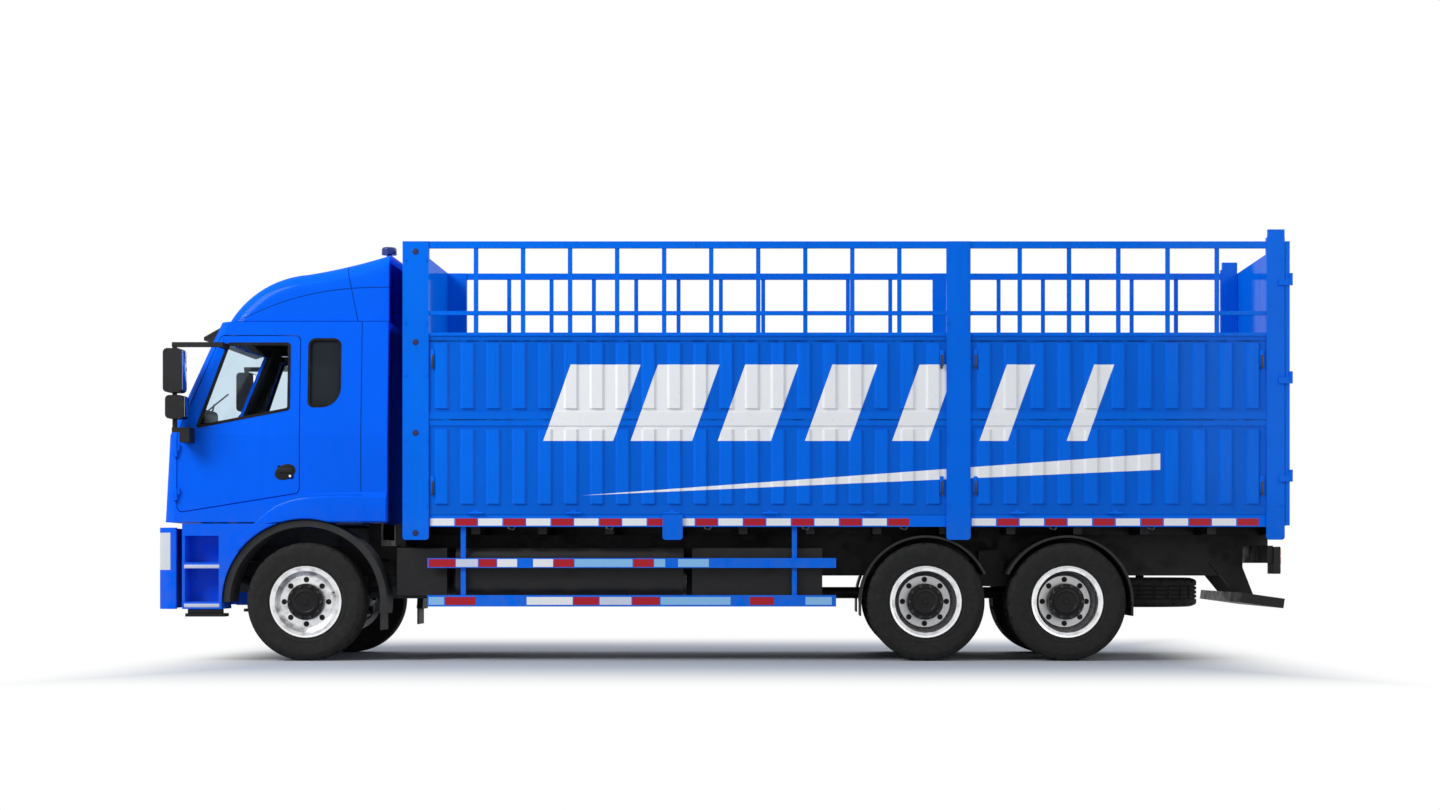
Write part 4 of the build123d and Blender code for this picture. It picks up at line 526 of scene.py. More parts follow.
def cloth_finish():
    """Woven seat cloth."""
    look = Finish("seat_cloth", (0.05, 0.052, 0.058), 0.95)
    weave = [look.math("SINE", look.math("MULTIPLY", axis, WEAVE)) for axis in look.axes()]
    threads = look.math("ADD", look.math("ADD", weave[0], weave[1]), weave[2])
    look.put("Base Color", look.mix(look.ramp(threads, -2, 2), (0.035, 0.037, 0.042), (0.085, 0.087, 0.095)))
    look.put("Sheen Weight", 0.3)
    look.bump(threads, 0.3, 0.0012)
    return look


FINISHES = {}


def look_of(name):
    return FINISHES[name].material


def mix_finishes(paint):
    """Every finish of the truck, by name."""
    FINISHES.update(
        cab_paint=paint_finish("cab_paint", paint.cab, 0.26, 0.25, 0.12),
        cab_shell=cab_finish(paint.cab),
        fairing_paint=fairing_finish(paint.cab),
        body_paint=paint_finish("body_paint", paint.body, 0.34, 0.25, 0.35),
        panel_paint=panel_finish(paint.body, paint.stripe),
        chassis_paint=chassis_finish("chassis_paint", paint.chassis),
        tank_paint=chassis_finish("tank_paint", (0.011, 0.011, 0.012)),
        engine_iron=chassis_finish("engine_iron", (0.09, 0.09, 0.092)),
        black_moulding=plastic_finish("black_moulding", (0.007, 0.007, 0.008)),
        guard_moulding=plastic_finish("guard_moulding", (0.020, 0.020, 0.020), 0.6),
        dark_trim=plastic_finish("dark_trim", (0.004, 0.004, 0.0045), 0.4),
        dash_moulding=plastic_finish("dash_moulding", (0.05, 0.05, 0.054), 0.65),
        tyre_rubber=rubber_finish("tyre_rubber", (0.017, 0.017, 0.017)),
        seal_rubber=rubber_finish("seal_rubber", (0.006, 0.006, 0.006)),
        wheel_steel=metal_finish("wheel_steel", (0.80, 0.80, 0.81), 0.28, grime=0.75, dish_shade=0.55),
        bright_steel=metal_finish("bright_steel", (0.88, 0.88, 0.88), 0.22, grime=0.12),
        dark_steel=metal_finish("dark_steel", (0.05, 0.05, 0.052), 0.42),
        mirror_glass=metal_finish("mirror_glass", (0.86, 0.88, 0.90), 0.09, grime=0.05),
        clear_glass=glass_finish("clear_glass", (0.78, 0.87, 0.93), 1.0),
        dark_glass=glass_finish("dark_glass", (0.028, 0.034, 0.042), 0.35),
        clear_lens=lens_finish("clear_lens", (0.60, 0.63, 0.68)),
        red_lens=lens_finish("red_lens", (0.48, 0.012, 0.012)),
        amber_lens=lens_finish("amber_lens", (0.75, 0.23, 0.01)),
        blue_lens=lens_finish("blue_lens", (0.002, 0.022, 0.16), 0.3, 0.08),
        red_tape=tape_finish("red_tape", (0.42, 0.008, 0.022)),
        white_tape=tape_finish("white_tape", (0.84, 0.85, 0.87)),
        pale_blue_tape=tape_finish("pale_blue_tape", (0.25, 0.52, 0.84)),
        faded_tape=tape_finish("faded_tape", (0.60, 0.66, 0.80)),
        step_edge=tape_finish("step_edge", (0.55, 0.58, 0.72)),
        plate_white=plastic_finish("plate_white", (0.62, 0.62, 0.60), 0.45),
        boards=board_finish(paint.body),
        seat_cloth=cloth_finish(),
    )


NODE_FINISHES = {
    "cab_paint": ("cab_extenders", "front_bumper", "cab_steps"),
    "fairing_paint": ("roof_fairing",),
    "cab_shell": ("cab_front", "cab_sides", "cab_roof", "cab_floor", "cab_rear_wall", "cab_door_left",
                  "cab_door_right"),
    "body_paint": ("bed_posts", "headboard", "side_grilles", "rear_door_left", "rear_door_right",
                   "side_guards"),
    "panel_paint": ("side_panels",),
    "chassis_paint": ("frame_rails", "frame_crossmembers", "axles", "leaf_springs", "drive_shafts",
                      "rear_underrun", "bed_underframe", "knuckle_left", "knuckle_right", "tie_rod"),
    "tank_paint": ("fuel_tank", "frame_boxes"),
    "engine_iron": ("engine",),
    "guard_moulding": ("mudguards",),
    "black_moulding": ("sun_visor", "mirrors_left", "mirrors_right", "front_grille", "low_steps"),
    "dash_moulding": ("dashboard",),
    "clear_glass": ("windscreen", "door_glass_left", "door_glass_right"),
    "dark_glass": ("quarter_windows",),
    "clear_lens": ("headlamps",),
    "blue_lens": ("roof_lamps",),
    "dark_trim": ("tail_lamps",),
    "wheel_steel": ("front_wheel_left", "front_wheel_right", "rear_wheel_1_left", "rear_wheel_1_right",
                    "rear_wheel_2_left", "rear_wheel_2_right"),
    "tyre_rubber": ("front_tyre_left", "front_tyre_right", "rear_tyres_1_left", "rear_tyres_1_right",
                    "rear_tyres_2_left", "rear_tyres_2_right", "spare_wheel"),
    "boards": ("bed_floor",),
    "seat_cloth": ("seats",),
}


def shape(name, mesh, finishes, body, smooth=30.0):
    """Turns a finished bmesh into a piece that rides on a body of the truck."""
    bmesh.ops.remove_doubles(mesh, verts=mesh.verts, dist=1e-5)
    bmesh.ops.recalc_face_normals(mesh, faces=mesh.faces)
    data = bpy.data.meshes.new(name)
    mesh.to_mesh(data)
    mesh.free()
    for finish in finishes:
        data.materials.append(look_of(finish))
    data.shade_smooth()
    data.set_sharp_from_angle(angle=math.radians(smooth))
    made = bpy.data.objects.new(name, data)
    bpy.context.scene.collection.objects.link(made)
    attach(made, body)
    return made


def give_finish(mesh, known, finish):
    """Gives a finish to the faces that are not in a set taken before, and returns them."""
    fresh = [face for face in mesh.faces if face not in known]
    for face in fresh:
        face.material_index = finish
    return fresh


def moved_parts(extruded, kind):
    """The vertices or edges among what an extrusion made."""
    return [part for part in extruded["geom"] if isinstance(part, kind)]


def edges_at(verts):
    """The edges at some vertices, each once and always in the same order."""
    return list(dict.fromkeys(edge for vert in verts for edge in vert.link_edges))


def round_off(mesh, parts, offset, segments, affect="EDGES"):
    """Rounds edges, or the corners of a flat face."""
    bmesh.ops.bevel(
        mesh, geom=parts, offset=offset, segments=segments, affect=affect, profile=0.5, material=-1
    )


def add_block(mesh, low, high, bevel=0.0, finish=0, segments=2):
    """A box between two corners, its edges rounded."""
    low, high = Vector(map(min, low, high)), Vector(map(max, low, high))
    known = set(mesh.faces)
    made = bmesh.ops.create_cube(mesh, size=1.0)["verts"]
    bmesh.ops.scale(mesh, vec=high - low, verts=made)
    bmesh.ops.translate(mesh, vec=(low + high) / 2, verts=made)
    if bevel:
        round_off(mesh, edges_at(made), bevel, segments)
    give_finish(mesh, known, finish)


def add_slab(mesh, sign, x, y, z, bevel=0.0, finish=0, segments=2):
    """A box on one side of the truck, from its x, its distances from the middle plane and its heights."""
    add_block(mesh, (x[0], sign * y[0], z[0]), (x[1], sign * y[1], z[1]), bevel, finish, segments)


def add_rod(mesh, start, end, radius, segments=20, finish=0, bevel=0.0):
    """A round bar from one point to another."""
    start, end = Vector(start), Vector(end)
    known = set(mesh.faces)
    turn = (end - start).to_track_quat("Z", "Y").to_matrix().to_4x4()
    made = bmesh.ops.create_cone(
        mesh,
        cap_ends=True,
        segments=segments,
        radius1=radius,
        radius2=radius,
        depth=(end - start).length,
        matrix=Matrix.Translation((start + end) / 2) @ turn,
    )["verts"]
    if bevel:
        rims = [edge for edge in edges_at(made) if max(len(face.verts) for face in edge.link_faces) > 4]
        round_off(mesh, rims, bevel, 2)
    give_finish(mesh, known, finish)


def add_stud(mesh, sign, x, y, z, radius, **options):
    """A round bar that points away from the truck's middle plane, between two distances from it."""
    add_rod(mesh, (x, sign * y[0], z), (x, sign * y[1], z), radius, **options)


def add_path(mesh, points, radius, segments=10, finish=0):
    """Round bars from point to point with a ball at each bend."""
    for start, end in zip(points, points[1:]):
        add_rod(mesh, start, end, radius, segments=segments, finish=finish)
    for point in points[1:-1]:
        known = set(mesh.faces)
        bmesh.ops.create_uvsphere(
            mesh, u_segments=segments, v_segments=6, radius=radius, matrix=Matrix.Translation(point)
        )
        give_finish(mesh, known, finish)


def add_spun(mesh, outline, centre, steps, closed=True, finish=0):
    """Spins an outline of (radius, y) points round a wheel's axle, and returns the new faces."""
    known = set(mesh.faces)
    verts = [mesh.verts.new((centre[0] + radius, centre[1] + y, centre[2])) for radius, y in outline]
    ends = verts[1:] + verts[:1] if closed else verts[1:]
    edges = [mesh.edges.new(pair) for pair in zip(verts, ends)]
    bmesh.ops.spin(
        mesh,
        geom=verts + edges,
        cent=centre,
        axis=(0, 1, 0),
        angle=math.tau,
        steps=steps,
        use_merge=True,
        use_duplicate=False,
    )
    return give_finish(mesh, known, finish)


def ring_places(centre, radius, count):
    """Places spread evenly on a ring round an axle, as (x, z)."""
    for number in range(count):
        angle = math.tau * number / count
        yield centre[0] + radius * math.cos(angle), centre[2] + radius * math.sin(angle)


def around(middle, half):
    """The ends of a range, from its middle and its half width."""
    return middle - half, middle + half


def half_box(node, sign):
    """Lowest and highest corner of the part of a CAD node that lies on one side of the truck."""
    points = [vert.co for vert in NODES[node].data.vertices if vert.co.y * sign > 0]
    return Vector(map(min, zip(*points))), Vector(map(max, zip(*points)))


class TRUCK_OT_paint_solids(bpy.types.Operator):
    """Gives every CAD solid its finish"""

    bl_idname = "truck.paint_solids"
    bl_label = "Paint the solids"

    def execute(self, context):
        mix_finishes(context.scene.truck_paint)
        for finish, nodes in NODE_FINISHES.items():
            for node in nodes:
                slots = NODES[node].data.materials
                slots.clear()
                slots.append(look_of(finish))
        return {"FINISHED"}


TREAD_STEPS = 96
SLOT_EVERY = 4
SLOT_SHARE = 0.8
# Where the grooves lie between the ribs, and which faces the slots cut: shoulders and ribs, as limits of y
RIB_EDGES = ((0.068, 0.052), (0.027, 0.013))
GROOVE_DRAFT = 0.003
SHOULDER_RADIUS = 0.520
SHOULDER_Y = 0.100
RIB_Y = 0.055
TYRE_SMOOTH = 38
DISC_STEPS = 48
SPARE_DISC = ((0.2995, -0.10), (0.2995, 0.10), (0.285, 0.10), (0.270, 0.02), (0.10, 0.02), (0.10, 0.005),
              (0.268, 0.005), (0.283, -0.10))


def tyre_outline():
    """One tyre's section as (radius, y) points, with beads, sidewall rings, shoulders and grooves."""
    top = sizes().tyre_radius
    half = sizes().tyre_half_width
    floor = top - sizes().tread_depth
    near = [
        (0.3005, 0.110), (0.318, 0.1155), (0.3315, 0.1175), (0.340, half - 0.014), (0.352, half - 0.010),
        (0.370, half - 0.007), (0.374, half - 0.010), (0.415, half - 0.003), (0.455, half),
        (0.486, half - 0.002), (0.490, half - 0.006), (0.503, half - 0.007), (0.507, half - 0.010),
        (0.525, half - 0.017), (0.537, half - 0.026), (top, half - 0.038),
    ]
    for outer, inner in RIB_EDGES:
        near += [(top, outer), (floor, outer - GROOVE_DRAFT), (floor, inner + GROOVE_DRAFT), (top, inner)]
    return near + [(radius, -y) for radius, y in reversed(near)]


def add_tyre(mesh, centre, blocks):
    """A tyre round an axle along Y: slots in its shoulders, and across its ribs where it drives."""
    centre = Vector(centre)
    rib_radius = sizes().tyre_radius - 0.001
    cut = []
    for face in add_spun(mesh, tyre_outline(), centre, TREAD_STEPS):
        middle = face.calc_center_median() - centre
        radius = math.hypot(middle.x, middle.z)
        step = int((math.atan2(middle.z, middle.x) + math.pi) / math.tau * TREAD_STEPS)
        shoulder = radius > SHOULDER_RADIUS and abs(middle.y) > SHOULDER_Y
        rib = blocks and radius > rib_radius and abs(middle.y) < RIB_Y
        if shoulder and step % SLOT_EVERY == 0 or rib and (step + SLOT_EVERY // 2) % SLOT_EVERY == 0:
            cut.append(face)
    extruded = bmesh.ops.extrude_face_region(mesh, geom=cut)
    bmesh.ops.delete(mesh, geom=cut, context="FACES_ONLY")
    for vert in moved_parts(extruded, bmesh.types.BMVert):
        arm = Vector((vert.co.x - centre.x, 0, vert.co.z - centre.z))
        vert.co -= arm.normalized() * sizes().tread_depth * SLOT_SHARE


class TRUCK_OT_tyres(bpy.types.Operator):
    """Puts treaded tyres on every wheel and on the spare"""

    bl_idname = "truck.tyres"
    bl_label = "Tyres"

    def execute(self, context):
        for place, sign in SIDES:
            mesh = bmesh.new()
            add_tyre(mesh, (FRONT_AXLE_X, sign * FRONT_TRACK, AXLE_Z), False)
            self.fit(mesh, f"front_tyre_{place}", f"front_wheel_{place}")
            for axle, x in enumerate(REAR_AXLES_X, 1):
                mesh = bmesh.new()
                for twin in (-TWIN_HALF, TWIN_HALF):
                    add_tyre(mesh, (x, sign * REAR_TRACK + twin, AXLE_Z), True)
                self.fit(mesh, f"rear_tyres_{axle}_{place}", f"rear_wheels_{axle}_{place}")
        low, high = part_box("spare_wheel")
        mesh = bmesh.new()
        add_tyre(mesh, (0, 0, 0), True)
        add_spun(mesh, SPARE_DISC, (0, 0, 0), DISC_STEPS, finish=1)
        flat = Matrix.Rotation(math.pi / 2, 3, "X")
        bmesh.ops.rotate(mesh, cent=(0, 0, 0), matrix=flat, verts=mesh.verts)
        bmesh.ops.translate(mesh, vec=(low + high) / 2, verts=mesh.verts)
        finishes = ["tyre_rubber", "wheel_steel"]
        made = shape("spare_tyre_and_disc", mesh, finishes, "chassis", TYRE_SMOOTH)
        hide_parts("spare_wheel")
        return {"FINISHED"}

    def fit(self, mesh, node, body):
        made = shape(f"tread_{node}", mesh, ["tyre_rubber"], body, TYRE_SMOOTH)
        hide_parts(node)


# Each hub's root and face, as distances outwards from the middle of its wheel or pair of wheels
FRONT_HUB = (0.0925, 0.1405)
REAR_HUB = (0.0185, 0.2055)
# The hub's section as (radius, distance from its face), after the edge at its root
HUB_RADIUS = 0.1682
HUB_OUTLINE = ((HUB_RADIUS, -0.004), (0.164, 0.002), (0.126, 0.002), (0.122, 0.010), (0.096, 0.014),
               (0.088, 0.009), (0.030, 0.009), (0.026, 0.016), (0.001, 0.016))
# Nuts and the bolt ends in them: each one's radius, its sides, and its ends as distances from the hub's face
NUTS = 10
NUT_RING = 0.148
NUT_STEPS = ((0.0165, 6, 0.001, 0.018), (0.010, 8, 0.017, 0.026))
# Dark discs put on the wheel's disc as painted shade for its hand holes, and their ends as distances from
# the hub's root
HAND_HOLES = 8
HAND_HOLE_RING = 0.204
HAND_HOLE_RADIUS = 0.0255
HAND_HOLE_OUT = (-0.014, -0.010)
# The bright lip of a rim as (radius, distance from the tyre's side), and the valve stem's place and run
LIP_OUT = 0.1325
LIP_STEPS = 72
LIP_OUTLINE = ((0.3305, -0.016), (0.3325, -0.004), (0.328, 0.002), (0.318, 0.001), (0.306, -0.002),
               (0.299, -0.012), (0.296, -0.013), (0.301, -0.0005))
STEM_PLACE = (0.262, -0.03, 0.09)
STEM_RUN = (-0.004, 0.045, -0.002)
STEM_RADIUS = 0.006


def add_hub(mesh, centre, sign, root, face):
    """A black hub over the CAD one, with wheel nuts on its rim, a stepped cap and a filler plug."""
    middle = abs(centre[1])
    outline = [(HUB_RADIUS, sign * root)] + [(radius, sign * (face + out)) for radius, out in HUB_OUTLINE]
    add_spun(mesh, outline, centre, DISC_STEPS, closed=False)
    # Painted shade: a dark disc on each hand hole stands for the shade seen through it
    for x, z in ring_places(centre, HAND_HOLE_RING, HAND_HOLES):
        y = [middle + root + out for out in HAND_HOLE_OUT]
        add_stud(mesh, sign, x, y, z, HAND_HOLE_RADIUS, segments=24)
    for x, z in ring_places(centre, NUT_RING, NUTS):
        for radius, segments, start, end in NUT_STEPS:
            y = (middle + face + start, middle + face + end)
            add_stud(mesh, sign, x, y, z, radius, segments=segments, finish=1)


class TRUCK_OT_wheel_fittings(bpy.types.Operator):
    """Adds hubs with their nuts, valve stems and bright rim lips"""

    bl_idname = "truck.wheel_fittings"
    bl_label = "Wheel fittings"

    def execute(self, context):
        for place, sign in SIDES:
            stations = [(f"front_wheel_{place}", FRONT_AXLE_X, FRONT_TRACK, FRONT_HUB, LIP_OUT)]
            for axle, x in enumerate(REAR_AXLES_X, 1):
                body = f"rear_wheels_{axle}_{place}"
                stations.append((body, x, REAR_TRACK, REAR_HUB, TWIN_HALF + LIP_OUT))
            for body, x, track, hub, lip in stations:
                centre = (x, sign * track, AXLE_Z)
                mesh = bmesh.new()
                add_hub(mesh, centre, sign, *hub)
                shape(f"hub_{body}", mesh, ["dark_trim", "dark_steel"], body, 32)
                mesh = bmesh.new()
                outline = [(radius, sign * (lip + out)) for radius, out in LIP_OUTLINE]
                add_spun(mesh, outline, centre, LIP_STEPS)
                stem = Vector(centre) + Vector((STEM_PLACE[0], sign * (lip + STEM_PLACE[1]), STEM_PLACE[2]))
                tip = stem + Vector((STEM_RUN[0], sign * STEM_RUN[1], STEM_RUN[2]))
                add_rod(mesh, stem, tip, STEM_RADIUS, segments=10, finish=1)
                shape(f"rim_lip_{body}", mesh, ["bright_steel", "dark_trim"], body, 32)
        return {"FINISHED"}


TAPE_THICK = 0.0016
TAPE_LIFT = 0.0002
# The edge rail's tape: the rail's face, the tape's lower edge, the bays that it fills, its strips and gaps
RAIL_FACE_Y = 1.225
RAIL_TAPE_Z = 1.243
RAIL_BAYS = ((-2.700, 2.030), (2.270, 4.965))
TAPE_RED = 0.195
TAPE_WHITE = 0.222
TAPE_GAP = 0.012
# The side guards' tape. Each run has its height, its start, and each strip's length and kind, -1 for a bare
# stretch
GUARD_FACE_Y = -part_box("side_guards")[0].y
GUARD_TAPE_HALF = 0.036
GUARD_TAPE_GAP = 0.008
TAPE_KINDS = ["red_tape", "white_tape", "pale_blue_tape", "faded_tape"]
GUARD_RUNS = (
    (0.900, -2.715, ((0.25, 0), (0.21, 3), (0.17, 0), (0.19, 1), (0.14, -1), (0.19, 1), (0.19, 0), (0.54, 2),
                     (0.19, 0), (0.11, 2), (0.11, -1), (0.29, 2))),
    (0.552, -2.715, ((0.15, 2), (0.29, 0), (0.46, -1), (0.43, 1), (0.24, 0), (0.30, 3), (0.26, 0), (0.65, 2),
                     (0.17, -1), (0.23, 0), (0.28, -1), (0.25, 2))),
)


def add_strip(mesh, sign, face_y, start, length, z, finish):
    """A strip of tape on a face at a side of the truck."""
    y = (face_y + TAPE_LIFT, face_y + TAPE_THICK)
    add_slab(mesh, sign, (start, start + length), y, z, finish=finish)


class TRUCK_OT_marker_tape(bpy.types.Operator):
    """Sticks red and white marker tape on the edge rail and the side guards"""

    bl_idname = "truck.marker_tape"
    bl_label = "Marker tape"

    def execute(self, context):
        rail_z = (RAIL_TAPE_Z, RAIL_TAPE_Z + sizes().tape_height)
        pitch = TAPE_RED + TAPE_WHITE + 2 * TAPE_GAP
        for place, sign in SIDES:
            mesh = bmesh.new()
            for start, end in RAIL_BAYS:
                for number in range(int((end - start) / pitch)):
                    x = start + number * pitch
                    add_strip(mesh, sign, RAIL_FACE_Y, x, TAPE_WHITE, rail_z, 1)
                    add_strip(mesh, sign, RAIL_FACE_Y, x + TAPE_WHITE + TAPE_GAP, TAPE_RED, rail_z, 0)
            shape(f"rail_tape_{place}", mesh, TAPE_KINDS[:2], "chassis")
            mesh = bmesh.new()
            for middle, x, strips in GUARD_RUNS:
                z = (middle - GUARD_TAPE_HALF, middle + GUARD_TAPE_HALF)
                for length, finish in strips:
                    if finish >= 0:
                        add_strip(mesh, sign, GUARD_FACE_Y, x, length - GUARD_TAPE_GAP, z, finish)
                    x += length
            shape(f"guard_tape_{place}", mesh, TAPE_KINDS, "chassis")
        return {"FINISHED"}


# Cab windows as (x, z) corners with a radius for each, and how far the rubber goes out of the side and in
DOOR_WINDOW = ((-4.855, 2.135), (-4.573, 2.930), (-3.990, 2.930), (-3.990, 2.305))
DOOR_WINDOW_RADII = (0.035, 0.035, 0.035, 0.035)
QUARTER_WINDOW = ((-3.830, 2.330), (-3.830, 2.970), (-3.525, 2.970), (-3.525, 2.330))
QUARTER_RADII = (0.050, 0.070, 0.070, 0.185)
QUARTER_SEAL_SHARE = 0.8
SEAL_OUT = 0.003
SEAL_IN = 0.022


def side_y(z):
    """How far out the cab's side lies at a height."""
    return CAB_SIDE_Y - max(0.0, z - BELT_Z) * SIDE_LEAN


def add_seal(mesh, outline, radii, sign, width):
    """A rubber frame in a window's opening, laid in the cab's leaning side."""
    corners = [mesh.verts.new((x, 0, z)) for x, z in outline]
    mesh.faces.new(corners)
    for corner, radius in zip(corners, radii):
        round_off(mesh, [corner], radius, 6, "VERTICES")
    face = max(mesh.faces, key=lambda each: each.calc_area())
    ring = bmesh.ops.inset_individual(mesh, faces=[face], thickness=width, use_even_offset=True)["faces"]
    bmesh.ops.delete(mesh, geom=[face], context="FACES")
    extruded = bmesh.ops.extrude_face_region(mesh, geom=ring, use_keep_orig=True)
    deep = set(moved_parts(extruded, bmesh.types.BMVert))
    for vert in mesh.verts:
        vert.co.y = sign * (side_y(vert.co.z) + (-SEAL_IN if vert in deep else SEAL_OUT))


def add_plate(mesh, outline, sign, y, round_by, crease=(), drop=0.0):
    """A plate with an (x, z) outline, standing out from the truck's side, its outer rim rounded.

    Along a crease the outer rim lies lower, which leaves a sloping band there.
    """
    base = mesh.faces.new([mesh.verts.new((x, sign * y[0], z)) for x, z in outline])
    extruded = bmesh.ops.extrude_face_region(mesh, geom=[base], use_keep_orig=True)
    outer = moved_parts(extruded, bmesh.types.BMVert)
    bmesh.ops.translate(mesh, vec=(0, sign * (y[1] - y[0]), 0), verts=outer)
    for vert in outer:
        if (round(vert.co.x, 3), round(vert.co.z, 3)) in crease:
            vert.co.z -= drop
    round_off(mesh, moved_parts(extruded, bmesh.types.BMEdge), round_by, 4)


# The front wheel arch: its radius, and where the flare and its foot follow it, in degrees up from the tail
ARCH_RADIUS = 0.766
ARCH_POINTS = 9
FLARE_ARCH = (74.2, 105.8)
FOOT_ARCH = (111.5, 142.5)
# The fender's upper crease as (x, z) points, from its front foot to the cab's rear edge, and the drop of the
# band along it
CREASE_LOW = ((-4.462, 1.000), (-4.432, 1.070), (-4.398, 1.143), (-4.362, 1.208), (-4.330, 1.256))
CREASE_HIGH = ((-4.312, 1.281), (-4.257, 1.347), (-4.185, 1.410), (-4.105, 1.460), (-4.030, 1.492),
               (-3.951, 1.515), (-3.860, 1.530), (-3.700, 1.543), (-3.543, 1.550), (-3.310, 1.551),
               (-3.102, 1.547))
CREASE_DROP = 0.042
FLARE_CORNER = (-3.102, 1.281)
FLARE_Y = (1.2252, 1.247)
FOOT_Y = (1.2392, 1.247)
STEP_SKIRT = ((-4.925, -4.610), (1.150, 1.228), (0.4385, 0.4775))


def arch_points(start, end):
    """Points on the front wheel arch between two angles."""
    for number in range(ARCH_POINTS):
        angle = math.radians(start + (end - start) * number / (ARCH_POINTS - 1))
        yield FRONT_AXLE_X + ARCH_RADIUS * math.cos(angle), AXLE_Z + ARCH_RADIUS * math.sin(angle)


class TRUCK_OT_fenders(bpy.types.Operator):
    """Raises the flare over the front arches, and closes the lowest steps"""

    bl_idname = "truck.fenders"
    bl_label = "Fender flares"

    def execute(self, context):
        flare = [*CREASE_HIGH, FLARE_CORNER, *arch_points(*FLARE_ARCH)]
        foot = [*CREASE_LOW, *arch_points(*FOOT_ARCH)]
        for place, sign in SIDES:
            mesh = bmesh.new()
            add_plate(mesh, flare, sign, FLARE_Y, 0.007, CREASE_HIGH, CREASE_DROP)
            shape(f"fender_flare_{place}", mesh, ["cab_paint"], "cab", 35)
            mesh = bmesh.new()
            add_plate(mesh, foot, sign, FOOT_Y, 0.003)
            shape(f"fender_foot_{place}", mesh, ["cab_paint"], "chassis", 35)
            mesh = bmesh.new()
            add_slab(mesh, sign, *STEP_SKIRT, 0.006)
            shape(f"low_step_skirt_{place}", mesh, ["black_moulding"], "chassis")
        return {"FINISHED"}


# The door handle's escutcheon is a slanting oval: its middle, its half sizes, its rise along its length
HANDLE_MIDDLE = (-4.030, 1.735)
HANDLE_HALF = (0.096, 0.072)
HANDLE_RISE = 0.018
HANDLE_POINTS = 28
HANDLE_PLATE_Y = (1.2195, 1.2285)
HANDLE_BAR = ((-4.088, -3.962), (1.2275, 1.2405), (1.728, 1.772))
HANDLE_LOCK = (-3.985, (1.2275, 1.2315), 1.698)
# Each mirror's rear face and heights, the glass's ends across, and its own faces behind that one
MIRRORS = ((-4.913, (2.472, 2.828)), (-4.893, (2.228, 2.407)))
MIRROR_Y = (1.318, 1.472)
MIRROR_GLASS = (0.0003, 0.004)
STEP_EDGES_Z = (0.868, 0.510)
STEP_EDGE_HALF = 0.017
STEP_EDGE_X = (-4.955, -4.630)
STEP_EDGE_Y = (1.230, 1.2415)
# The windscreen is set back by its bow where it ends
SCREEN_BOW = 0.040
SCREEN_HALF = 0.995
# Wipers: the places of their feet across, and the arm's tip and the blade as (across from the foot, height)
WIPERS_Y = (-0.30, 0.45)
WIPER_FOOT_Z = 2.10
WIPER_TIP = (-0.34, 2.44)
WIPER_BLADE = ((-0.62, 2.32), (-0.34, 2.44), (-0.06, 2.56))
WIPER_BEND = Vector((-0.012, 0, 0.01))
WIPER_PIVOT = (Vector((0.03, 0, 0)), Vector((-0.012, 0, 0)))
# The hood over the instruments and the dark face in it, from corner to corner
HOOD = ((-4.962, -0.94, 2.045), (-4.870, -0.28, 2.345))
HOOD_FACE = ((-4.876, -0.88, 2.100), (-4.862, -0.34, 2.300))


def handle_outline():
    for number in range(HANDLE_POINTS):
        turn = math.tau * number / HANDLE_POINTS
        rise = HANDLE_HALF[1] * math.sin(turn) + HANDLE_RISE * math.cos(turn)
        yield HANDLE_MIDDLE[0] + HANDLE_HALF[0] * math.cos(turn), HANDLE_MIDDLE[1] + rise


def off_screen(y, z, out):
    """A point some way in front of the windscreen, which leans and is bowed."""
    x = SCREEN_FOOT_X + SCREEN_LEAN * (z - BELT_Z) + SCREEN_BOW * (y / SCREEN_HALF) ** 2
    return Vector((x - out, y, z))


